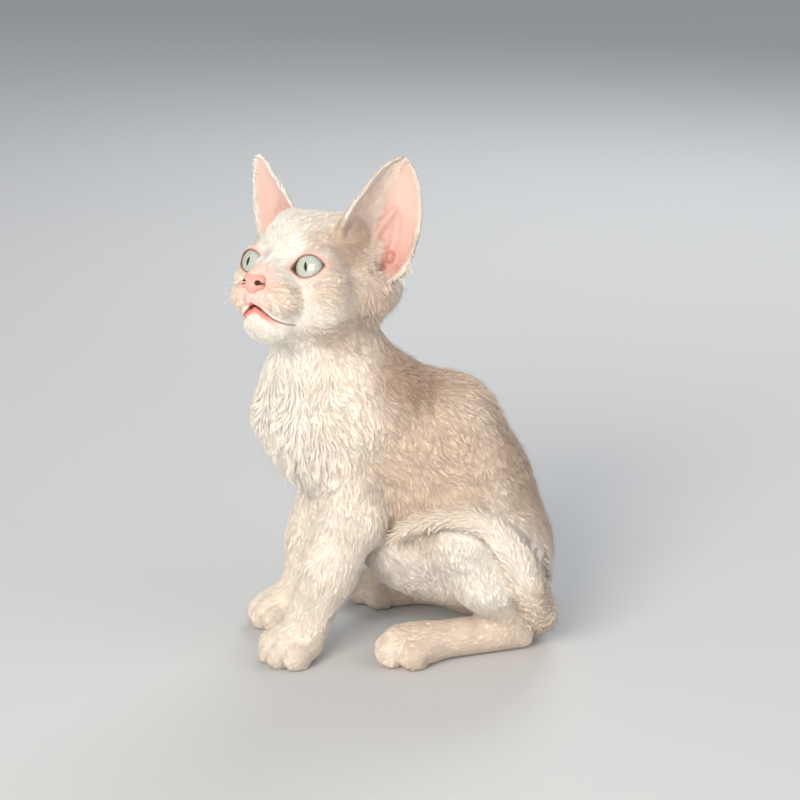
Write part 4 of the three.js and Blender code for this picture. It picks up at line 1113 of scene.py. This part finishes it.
def nose_field(places):
    m = halves(places)
    whole = egg(places, (22.1, 0, -7.6), (3.5, 5.1, 3))
    whole = join(whole, egg(places, (22.9, 0, -10.3), (2.9, 3.2, 3)), 1.4)
    whole = join(whole, egg(m, (22.8, 3.6, -9.6), (2.3, 1.9, 1.9)), 0.8)
    whole = carve(whole, egg(m, NOSTRIL, (2.6, 1.15, 0.95)), 0.5)
    whole = carve(whole, egg(m, (23.9, 4.9, -9.2), (2.4, 1.4, 0.4)), 0.4)
    return carve(whole, limb(places, [(26.4, 0, -8.5, 0.25), (25.6, 0, -13, 0.35)], 1), 0.5)


# Nose leather: hairless skin in tiny pebbles of about 0.4 mm, damp, so it has a broken, satin shine.
nose_leather, tree = material("damp_nose_leather")
where = node(tree, "ShaderNodeTexCoord").outputs["Object"]
pebbles = node(tree, "ShaderNodeTexVoronoi", {"Scale": 2300.0, "feature": "SMOOTH_F1"}, Vector=where)
blush = mixed(tree, noise(tree, 350.0, 2.0), "E8A59B", "F2B8AB")
finished(
    tree,
    {"Roughness": 0.55, "IOR": 1.4, "Specular IOR Level": 0.35, "Subsurface Weight": 0.15,
     "Subsurface Scale": 0.001},
    # The depth attribute paints the nostrils near black: painted shade in the holes.
    Base_Color=mixed(tree, attribute(tree, "depth"), blush, "451513"),
    Normal=relief(tree, pebbles.outputs["Distance"], 0.5, 0.00015, inward=True),
)
nose_points, nose_faces = net(nose_field, (15, -8.5, -15), (29, 8.5, -2), NOSE_CELL)
nose_points = settled(nose_field, nose_points)
# Inside the nostrils and under their wings the leather is painted near black, as painted shade in the
# holes.
hole = egg(halves(nose_points), (24.4, 3.5, -9), (2.2, 1.25, 1.05))
wing = egg(halves(nose_points), (23.2, 4.9, -9.2), (2.2, 1.4, 0.45))
nostril_painted_shade = np.maximum(0.9 * ease(0.4, -0.2, hole), 0.5 * ease(0.35, -0.1, wing))
layers = {}, {}, {"depth": nostril_painted_shade}
nose = mesh_piece("nose_leather", from_head(nose_points), nose_faces.tolist(), nose_leather, *layers)
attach(nose, "root")
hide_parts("nose")

# The coat: short, very soft and wavy, without stiff guard hairs. It is longest on chest and tail, shorter
# on the legs, and like plush on face, ears and feet. Each tuft is a thin tapered solid lock that leans
# along the lie of the coat and follows its waves, with the tips of neighbours drawn together.
LIE_ON_BODY = [
    ((-8, 0, 152), (0.3, 0, -0.95)), ((0, 0, 128), (0.75, 0, -0.65)), ((25, 0, 112), (0.8, 0, -0.6)),
    ((48, 0, 88), (0.6, 0, -0.8)), ((60, 0, 60), (0.25, 0, -0.97)), ((64, 0, 25), (0.1, 0, -1)),
    ((-55, 0, 142), (0.1, 0, -1)), ((-63, 0, 112), (0, 0, -1)), ((-55, 12, 85), (0.35, 0, -0.94)),
    ((-45, 22, 122), (0.4, 0.15, -0.9)), ((-22, 26, 128), (0.6, 0.1, -0.8)),
    ((-25, 36, 98), (0.3, 0, -0.95)),
    ((-20, 36, 72), (-0.05, 0, -1)), ((-30, 33, 46), (-0.35, 0, -0.94)), ((-42, 28, 26), (-0.4, 0, -0.9)),
    ((-55, 20, 13), (-1, 0, -0.3)), ((-62, 20, 5), (-0.8, 0, -0.6)), ((5, 32, 98), (0.55, 0, -0.84)),
    ((25, 34, 78), (0.5, 0, -0.87)), ((10, 36, 58), (0.4, 0, -0.9)), ((0, 20, 38), (0.8, 0, -0.4)),
    ((20, 44, 52), (0.1, 0.2, -1)), ((45, 38, 58), (0, 0, -1)), ((38, 42, 30), (0.35, 0, -0.94)),
    ((46, 30, 15), (0, 0, -1)), ((25, 30, 12), (-1, 0, -0.1)), ((0, 32, 10), (-1, 0, -0.3)),
]
LIE_ON_HEAD = [
    ((24, 0, 0), (-1, 0, 0.5)), ((12, 0, 8), (-0.9, 0, 0.5)), ((0, 0, 19), (-1, 0, 0.2)),
    ((-18, 0, 25), (-1, 0, 0)), ((-38, 0, 8), (-0.3, 0, -1)), ((12, 12, 2), (-0.8, 0.5, 0.3)),
    ((2, 18, 9), (-0.9, 0.5, 0.4)),
    ((0, 22, -8), (-0.9, 0.3, -0.2)), ((-10, 25, 0), (-1, 0.1, -0.2)), ((-14, 25, -12), (-0.85, 0, -0.6)),
    ((-25, 27, -8), (-0.6, 0, -0.8)), ((18, 12, -13), (-0.7, 0.7, -0.1)), ((8, 14, -20), (-1, 0.3, -0.3)),
    ((18, 3, -28), (-0.7, 0.2, -0.7)), ((0, 8, -30), (-0.8, 0, -0.6)), ((-18, 15, 18), (-0.7, 0.5, 0.5)),
]


def both_sides(guides):
    return np.array(guides + [((x, -y, z), (a, -b, c)) for (x, y, z), (a, b, c) in guides if y], float)


def guided(guides, places, soft):
    away = ((places[:, None] - guides[None, :, 0]) ** 2).sum(2)
    share = 1 / (away + soft**2) ** 2
    return (share @ guides[:, 1]) / share.sum(1)[:, None]


def lie_of(points, facing):
    """The way the coat lies at each place, along the skin."""
    places = to_head(points)
    m = halves(places)
    way = guided(both_sides(LIE_ON_BODY), points, 6)
    on_head = ease(2, -3, head_form(places) - neck(points)) * ease(120, 135, points[:, 2])
    way = blend(way, guided(both_sides(LIE_ON_HEAD), places, 4) @ HEAD_AXES, on_head)
    for which in (LEFT_EAR, RIGHT_EAR):
        up_ear = own_side(which["axes"][2], which) @ HEAD_AXES
        on_ear = ease(4, 1.5, ear(places, which)) * ease(-0.05, 0.15, in_ear(places, which)[0])
        way = blend(way, up_ear, on_ear)
    line = TAIL_LINE[:, :3]
    nearest = np.linalg.norm(points[:, None] - line[None], axis=2).argmin(1)
    along = line[np.minimum(nearest + 1, len(line) - 1)] - line[np.maximum(nearest - 1, 0)]
    on_tail = ease(0.2, -0.8, tail(points) - trunk(points)) * (tail(points) < 3)
    way = blend(way, along / np.linalg.norm(along, axis=1)[:, None], on_tail)
    way = way - (way * facing).sum(1)[:, None] * facing
    return way / np.maximum(np.linalg.norm(way, axis=1), 1e-6)[:, None]


# How the locks wave, gather and stray: sizes in mm, strays as a share of all, the patch as one of the map.
WAVE_LENGTH = 6.2
TUFTS_IN_CLUMP = 12
STRAYS = 0.12
STRAYS_ON_EARS = 0.03
PATCH_ON_MAP = 0.003
LOWEST_HAIR = 0.12
MOST_PULL = 1.6
TAIL_TOWARDS_LAMP = (-0.25, -0.4, 0.3)


class Coat:
    """How the coat grows: length and width in mm, lift in radians, and how many tufts to a square mm."""

    def __init__(self, points, part):
        places = to_head(points)
        high = points[:, 2]
        head = part == HEAD
        face = ease(-30, -4, places[:, 0]) * head
        ears = part >= NEAR_EAR
        leg = (part >= LEFT_FORE) & (part <= RIGHT_HIND)
        foot = leg * ease(22, 12, high)
        chest = ease(-16, -42, points[:, 0]) * ease(60, 85, high) * ~head
        tail_part = part == TAIL
        near_head = ease(15, 1, head_form(places)) * ease(118, 130, high)
        self.length = 4.6 + 2 * chest
        self.length = np.where(leg, 4 - 1.6 * foot, self.length)
        self.length = np.where(tail_part, 5, self.length)
        self.length = np.where(head, 4.6 - 2 * face, self.length)
        tip = np.maximum(*[in_ear(places, which)[0] for which in (LEFT_EAR, RIGHT_EAR)])
        self.length = np.where(ears, 2.5 - 1.3 * ease(0.75, 1, tip), self.length)
        throat = near_head * ~head * ~ears * ease(-20, -36, points[:, 0])
        self.length = self.length + (3 - self.length) * throat
        kinds = [head, ears, leg]
        self.width = np.select(kinds, [0.5 - 0.08 * face, 0.4, 0.48 - 0.06 * foot], 0.5)
        self.lift = np.select(kinds, [0.34 + 0.04 * face, 0.34, 0.33 + 0.03 * foot], 0.32)
        self.lift = self.lift + 0.08 * chest + 0.08 * tail_part
        self.thick = np.select(kinds, [1.4 + 1.4 * face, 1.6, 1.4 + 1.3 * foot], 1.4)
        self.wave = np.where(head, 0.35 - 0.27 * face, np.where(ears, 0.1, 0.5 - 0.4 * foot))
        self.wave = self.wave + 0.25 * chest
        self.thick = self.thick * (1 - ease(0.2, 0.6, bareness(points))) * (1 - bare_ear(places))


def ripple(points, size, seed):
    """A smooth random field between -1 and 1 with features of the given size in mm."""
    draw = np.random.default_rng(seed)
    total = np.zeros(len(points))
    for n in range(7):
        way = unit(draw.normal(size=3)) * 2 * math.pi / (size * draw.uniform(0.75, 1.4))
        total += np.sin(points @ way + draw.uniform(0, 2 * math.pi))
    return total / 3


def roots_on(points, faces, seed):
    """The tufts' roots, more of them where the coat is thick, and the part each is on."""
    draw = np.random.default_rng(seed)
    corners = points[faces]
    spread = np.cross(corners[:, 1] - corners[:, 0], corners[:, 2] - corners[:, 0])
    area = np.linalg.norm(spread, axis=1) / 2
    middle = corners.mean(1)
    part = parts_of(middle)
    due = np.cumsum(area * Coat(middle, part).thick)
    picks = (np.arange(int(due[-1])) + draw.uniform(0, 1, int(due[-1]))) * due[-1] / int(due[-1])
    face = np.minimum(np.searchsorted(due, picks), len(faces) - 1)
    a, b = draw.uniform(0, 1, (2, len(face)))
    over = a + b > 1
    a, b = np.where(over, 1 - a, a), np.where(over, 1 - b, b)
    chosen = corners[face]
    first, second, third = chosen.transpose(1, 0, 2)
    return first + a[:, None] * (second - first) + b[:, None] * (third - first), part[face]


roots, root_parts = roots_on(skin_points, triangles, 11)
outward = outward_at(roots)
creased = cavity(roots, outward)
kept = np.random.default_rng(12).uniform(0, 1, len(roots)) > 0.6 * creased
roots, root_parts, outward, creased = roots[kept], root_parts[kept], outward[kept], creased[kept]


def turned(way, round_axis, angle):
    """Each way turned round its own axis, which is square to it."""
    return way * np.cos(angle)[:, None] + np.cross(round_axis, way) * np.sin(angle)[:, None]


def clumps(place, draw):
    """The roots at the middles of clumps, and for every root the clump it is in."""
    heads = draw.permutation(len(place))[: max(1, len(place) // TUFTS_IN_CLUMP)]
    near = KDTree(len(heads))
    for n, at in enumerate(heads):
        near.insert(place[at], n)
    near.balance()
    return heads, np.array([near.find(spot)[1] for spot in place])


def lock_mesh(name, points, rings):
    """A mesh of many locks, each of three-sided rings up to a tip, and the points at its face corners."""
    count, each = points.shape[:2]
    sides = ((0, 1), (1, 2), (2, 0))
    squares = [(n + a, n + b, n + 3 + b, n + 3 + a) for n in range(0, 3 * rings - 3, 3) for a, b in sides]
    ends = [(3 * rings - 3 + a, 3 * rings - 3 + b, 3 * rings) for a, b in sides] + [(0, 2, 1)]
    starts = np.arange(count)[:, None] * each
    corners = np.concatenate([(starts + np.array(sum(faces, ()))).ravel() for faces in (squares, ends)])
    sizes = np.repeat([4, 3], [len(squares) * count, len(ends) * count])
    mesh = bpy.data.meshes.new(name)
    mesh.vertices.add(count * each)
    mesh.vertices.foreach_set("co", ((points.reshape(-1, 3) - MIDDLE) * MM).astype(np.float32).ravel())
    mesh.loops.add(len(corners))
    mesh.loops.foreach_set("vertex_index", corners.astype(np.int32))
    mesh.polygons.add(len(sizes))
    mesh.polygons.foreach_set("loop_start", (np.cumsum(sizes) - sizes).astype(np.int32))
    mesh.polygons.foreach_set("use_smooth", np.ones(len(sizes), bool))
    mesh.update(calc_edges=True)
    return mesh, corners


def tuft_piece(name, chosen, rings, seed):
    """One piece of the coat: a lock of three sides at each chosen root, joined in one mesh."""
    place, out, part = roots[chosen], outward[chosen], root_parts[chosen]
    bones = TAIL_LINE[:, :3]
    from_bone = place - bones[np.linalg.norm(place[:, None] - bones[None], axis=2).argmin(1)]
    from_bone /= np.linalg.norm(from_bone, axis=1)[:, None]
    out = np.where((part == TAIL)[:, None], from_bone, out)
    count = len(place)
    draw = np.random.default_rng(seed)
    grows = Coat(place, part)
    wave = grows.wave
    places = to_head(place)
    m = halves(places)
    clear = np.minimum.reduce([almond(m), mouth(places), leather_edge(places)])
    short = 0.3 + 0.7 * ease(0.6, 4.5, clear)
    lie = lie_of(place, out)
    phase = (place * lie).sum(1) * 2 * math.pi / WAVE_LENGTH + 2.6 * ripple(place, 16, 5)
    crest = 0.6 * np.sin(phase) + 0.5 * ripple(place, 7, 9)
    curl = 0.9 * ripple(place, 12, 3) + 0.35 * np.cos(phase)
    lie = turned(lie, out, wave * curl + draw.normal(0, 0.1, count))
    side = np.cross(out, lie)
    length = grows.length * short * draw.uniform(0.75, 1.2, count)
    lift = grows.lift * (1 + 0.8 * wave * crest) * draw.uniform(0.8, 1.2, count)
    width = grows.width * draw.uniform(0.75, 1.2, count)
    stray = draw.uniform(0, 1, count) < np.where(part >= NEAR_EAR, STRAYS_ON_EARS, STRAYS)
    length = np.where(stray, length * 1.3, length)
    lift = np.where(stray, lift + 0.4, lift)
    width = np.where(stray, width * 0.35, width)
    sunk = np.where(length < 3, 0.08, 0.2)
    bend = wave * length * 0.09
    twist = 1.1 * ripple(place, 9, 7) + draw.normal(0, 0.1, count)
    heads, mates = clumps(place, draw)
    pull = (place[heads[mates]] - place) * (0.4 * np.minimum(1, wave * 1.7))[:, None]
    pull *= np.minimum(1, MOST_PULL / np.maximum(np.linalg.norm(pull, axis=1), 1e-6))[:, None]
    steps = np.linspace(0, 1, rings + 1)
    shape = np.interp(steps, (0, 0.35, 0.7, 1), (0.8, 1, 0.62, 0))
    each = 3 * rings + 1
    points, normals = np.empty((2, count, each, 3))
    roundness = np.where(length < 3, 0.5, 0.28)[:, None]
    soft = out + lie * (0.24 * wave * np.cos(phase) - 0.1)[:, None]
    soft = soft + side * (0.17 * wave * ripple(place, 5, 13))[:, None]
    soft = soft + np.outer(part == TAIL, TAIL_TOWARDS_LAMP)
    for n, (t, broad) in enumerate(zip(steps, shape)):
        height = length * np.sin(lift) * (t - 0.42 * t * t) - sunk
        sway = bend * np.sin(2 * math.pi * (0.9 * t + twist)) * min(1, 1.6 * t)
        along = length * t * (1 - 0.12 * t)
        middle = place + lie * along[:, None] + out * height[:, None] + side * sway[:, None] + pull * t**1.4
        if n == rings:
            points[:, -1] = middle
            normals[:, -1] = soft
            continue
        half = (width * broad / 2)[:, None]
        for corner, way in enumerate((-side, side, out * 0.8)):
            points[:, 3 * n + corner] = middle + way * half
            normals[:, 3 * n + corner] = soft + way * roundness
    points[:, :, 2] = np.maximum(points[:, :, 2], LOWEST_HAIR)
    mesh, corners = lock_mesh(name, points, rings)
    across = np.append(np.tile([0, 1, 0.5], rings), 0.5)
    up = np.append(np.repeat(steps[:-1], 3), 1)
    spots = laid_flat(place, out, part)[:, None] + (np.column_stack([across, up]) - 0.5) * PATCH_ON_MAP
    ginger = (draw.uniform(0, 1, count) < 0.33) * whisker_pad(m) * ease(4.5, 6.5, m[:, 1])
    shadow = np.select([part == TAIL, part == HEAD], [0.1, 0.2], 0.3) * creased[chosen]
    tints = blend(colours_of(place), FOLLICLE, 0.5 * ginger) * (1 - shadow)[:, None]
    odd = 0.6 * draw.uniform(0, 1, len(heads))[mates] + 0.4 * draw.uniform(0, 1, count)
    floats = {"along": np.tile(up, count), "odd": np.repeat(odd, each)}
    tints = {"tint": np.repeat(tints, each, axis=0)}
    dressed(mesh, soft_coat, {"OFBake": spots.reshape(-1, 2)[corners]}, tints, floats)
    normals = normals.reshape(-1, 3)
    mesh.normals_split_custom_set_from_vertices(normals / np.linalg.norm(normals, axis=1)[:, None])
    made = placed(bpy.data.objects.new(name, mesh))
    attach(made, "root")


# Kitten fur: down hairs a few hundredths of a millimetre thick. They scatter light softly, so the coat is
# matt with a faint bloom. It is darker at the roots, partly the hairs' own colour and partly painted shade
# between the locks, and almost white at the tips.
soft_coat, tree = material("soft_wavy_down")
shades = [
    ranged(tree, noise(tree, 140.0, 3.0), 0.9, 1.07),
    # Darker at the roots: partly the hairs' own colour and partly painted shade between the locks.
    ranged(tree, attribute(tree, "along"), 0.88, 1.05),
    ranged(tree, attribute(tree, "odd"), 0.9, 1.06),
]
both = node(tree, "ShaderNodeMath", {"operation": "MULTIPLY"}, _0=shades[0], _1=shades[1]).outputs[0]
shade = node(tree, "ShaderNodeMath", {"operation": "MULTIPLY"}, _0=both, _1=shades[2]).outputs[0]
surface = finished(
    tree,
    {"Roughness": 0.8, "IOR": 1.55, "Specular IOR Level": 0.2, "Sheen Weight": 0.25, "Sheen Roughness": 0.5,
     "Subsurface Weight": 0.6, "Subsurface Radius": (1.0, 0.85, 0.7), "Subsurface Scale": 0.0016},
    Base_Color=scaled(tree, attribute(tree, "tint", "Color"), shade),
)
surface.subsurface_method = "BURLEY"

in_front = roots[:, 0] < -22
far_side = roots[:, 1] > 0
upper = roots[:, 2] > 80
on_trunk = root_parts == TRUNK
left_cheek = to_head(roots)[:, 1] > 0
COAT_PIECES = {
    "coat_of_left_breast": (on_trunk & in_front & ~far_side, 3),
    "coat_of_right_breast": (on_trunk & in_front & far_side, 3),
    "coat_of_left_back": (on_trunk & ~in_front & upper & ~far_side, 3),
    "coat_of_right_back": (on_trunk & ~in_front & upper & far_side, 3),
    "coat_of_left_flank": (on_trunk & ~in_front & ~upper & ~far_side, 3),
    "coat_of_right_flank": (on_trunk & ~in_front & ~upper & far_side, 3),
    "coat_of_left_foreleg": (root_parts == LEFT_FORE, 2),
    "coat_of_left_hind_leg": (root_parts == LEFT_HIND, 2),
    "coat_of_right_foreleg": (root_parts == RIGHT_FORE, 2),
    "coat_of_right_hind_leg": (root_parts == RIGHT_HIND, 2),
    "coat_of_tail": (root_parts == TAIL, 3),
    "coat_of_left_cheek": ((root_parts == HEAD) & left_cheek, 2),
    "coat_of_right_cheek": ((root_parts == HEAD) & ~left_cheek, 2),
    "coat_of_ears": (root_parts >= NEAR_EAR, 2),
}
for seed, (name, (chosen, rings)) in enumerate(COAT_PIECES.items()):
    tuft_piece(name, np.flatnonzero(chosen), rings, 100 + seed)


# Whiskers, brow hairs and the wisps before the ear: single stiff hairs of the kitten, white or cream, thick
# as sewing thread at the root and running out to nothing, short and crimped as this breed's are.
WHISKER = 0.13
BROW_HAIR = 0.08
WISP = 0.1
HAIR_POINTS = 9
WISPS_AT_EACH_EAR = 110


def surface_side(x, z):
    """How far out the muzzle's skin lies at a place seen from the side."""
    low, high = 3.0, 24.0
    for turn in range(24):
        middle = (low + high) / 2
        inside = head_form(np.array([[x, middle, z]]))[0] < -0.6
        low, high = (middle, high) if inside else (low, middle)
    return low


def grown_hairs(places, ways, bends, lengths, seed):
    """Rows of points from each root outwards, bent and crimped, in the head's frame."""
    draw = np.random.default_rng(seed)
    rows = []
    for place, way, bend, length in zip(places, ways, bends, lengths):
        way, bend = unit(way), np.asarray(bend, float)
        side = unit(np.cross(way, bend + (0.01, 0.02, 0.03)))
        start = draw.uniform(0, 2 * math.pi)
        t = np.linspace(0, 1, HAIR_POINTS)[:, None]
        crimp = 0.045 * length * t * np.sin(start + 7.5 * t)
        rows.append(np.asarray(place) + length * (way * t + bend * t**2 * 0.5) + side * crimp)
    return rows


# Hair: clear keratin round a paler core, so it shines along its side and glows a little against the light.
hair_keratin, tree = material("pale_hair_keratin")
bands = noise(tree, 500.0, 1.0)
finished(
    tree,
    {"Roughness": 0.38, "IOR": 1.55, "Subsurface Weight": 0.3, "Subsurface Scale": 0.0005},
    Base_Color=mixed(tree, bands, "F1E7DA", "FFFBF4"),
    Normal=relief(tree, bands, 0.2, 0.00002),
)

# Every hair follows a line of points. The tree lays a round section along it, thinner towards the tip.
hair_tree = bpy.data.node_groups.new("tapered_hairs", "GeometryNodeTree")
HAIR_SOCKETS = [
    ("Lines", "INPUT", "Geometry"), ("Root thickness", "INPUT", "Float"), ("Sides", "INPUT", "Int"),
    ("Hairs", "OUTPUT", "Geometry"),
]
hair_inputs = {
    name: hair_tree.interface.new_socket(name, in_out=way, socket_type="NodeSocket" + kind).identifier
    for name, way, kind in HAIR_SOCKETS
}
given = node(hair_tree, "NodeGroupInput")
lines = node(hair_tree, "GeometryNodeMeshToCurve", _0=given.outputs[0])
along = node(hair_tree, "GeometryNodeSplineParameter").outputs["Factor"]
taper = ranged(hair_tree, along, 0.5, 0.06)
radius = node(hair_tree, "ShaderNodeMath", {"operation": "MULTIPLY"}, _0=taper, _1=given.outputs[1])
section = node(hair_tree, "GeometryNodeCurvePrimitiveCircle", {"Radius": 1.0}, Resolution=given.outputs[2])
swept = node(
    hair_tree,
    "GeometryNodeCurveToMesh",
    {"Fill Caps": True},
    Curve=lines.outputs[0],
    Profile_Curve=section.outputs[0],
    Scale=radius.outputs[0],
)
smooth = node(hair_tree, "GeometryNodeSetShadeSmooth", Geometry=swept.outputs[0])
real = node(hair_tree, "GeometryNodeRealizeInstances", _0=smooth.outputs[0])
coated = node(hair_tree, "GeometryNodeSetMaterial", {"Material": hair_keratin}, Geometry=real.outputs[0])
node(hair_tree, "NodeGroupOutput", _0=coated.outputs[0])


def hair_piece(name, rows, thickness, sides):
    points = np.concatenate(rows)
    edges = [(n, n + 1) for n in range(len(points) - 1) if (n + 1) % HAIR_POINTS]
    lines_mesh = bpy.data.meshes.new(name + "_lines")
    lines_mesh.from_pydata((from_head(points) - MIDDLE) * MM, edges, [])
    holder = placed(bpy.data.objects.new(name + "_lines", lines_mesh))
    swept_hairs = holder.modifiers.new("hairs", "NODES")
    swept_hairs.node_group = hair_tree
    swept_hairs[hair_inputs["Root thickness"]] = thickness * MM
    swept_hairs[hair_inputs["Sides"]] = sides
    seen_by = bpy.context.evaluated_depsgraph_get()
    plain = bpy.data.meshes.new_from_object(holder.evaluated_get(seen_by))
    plain.name = name
    bpy.data.objects.remove(holder)
    made = placed(bpy.data.objects.new(name, plain))
    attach(made, "root")


whisker_rows = []
brow_rows = []
draw = np.random.default_rng(31)
for side in (1, -1):
    spots, ways, bends, lengths = [], [], [], []
    for row in range(4):
        for n in range(4):
            x, z = 19.6 - 2.5 * n - 0.5 * row, -9.6 - 2.1 * row
            spots.append((x, side * surface_side(x, z), z))
            turns = draw.normal(0, 0.12), draw.normal(0, 0.1)
            ways.append((0.35 - 0.3 * n + turns[0], side, 0.18 - 0.22 * row + turns[1]))
            bends.append((-0.5 + draw.normal(0, 0.15), 0, -0.35 + draw.normal(0, 0.15)))
            lengths.append(draw.uniform(5.5, 8.5) + 1.2 * n)
    whisker_rows += grown_hairs(spots, ways, bends, lengths, 41 + side)
    spots = [(6 - 2.6 * n, side * (11.5 + 1.8 * n), 11.4 - 0.3 * n) for n in range(4)]
    ways = [(0.5, side * (0.1 + 0.15 * n), 1.0) for n in range(4)]
    brow_rows += grown_hairs(spots, ways, [(-0.5, side * 0.2, 0)] * 4, [6.5, 7.5, 6.8, 5.5], 51 + side)
hair_piece("whiskers", whisker_rows, WHISKER, 6)
hair_piece("brow_hairs", brow_rows, BROW_HAIR, 5)

wisp_rows = []
root_places = to_head(roots)
root_ways = outward @ HEAD_AXES.T
for which in (LEFT_EAR, RIGHT_EAR):
    towards = own_side(which["knob"], which) - root_places
    away = np.linalg.norm(towards, axis=1)
    before = (away > 3.2) & (away < 13) & (towards[:, 0] < -0.5) & (towards[:, 2] > -5)
    chosen = draw.permutation(np.flatnonzero(before))[:WISPS_AT_EACH_EAR]
    ways = 0.8 * root_ways[chosen] + 0.7 * towards[chosen] / away[chosen, None]
    ways = ways + draw.normal(0, 0.2, (len(chosen), 3))
    bends = draw.normal(0, 0.35, (len(chosen), 3)) + (-0.1, 0, -0.35)
    wisp_rows += grown_hairs(root_places[chosen], ways, bends, draw.uniform(3.5, 6.5, len(chosen)), 61)
hair_piece("ear_wisps", wisp_rows, WISP, 4)
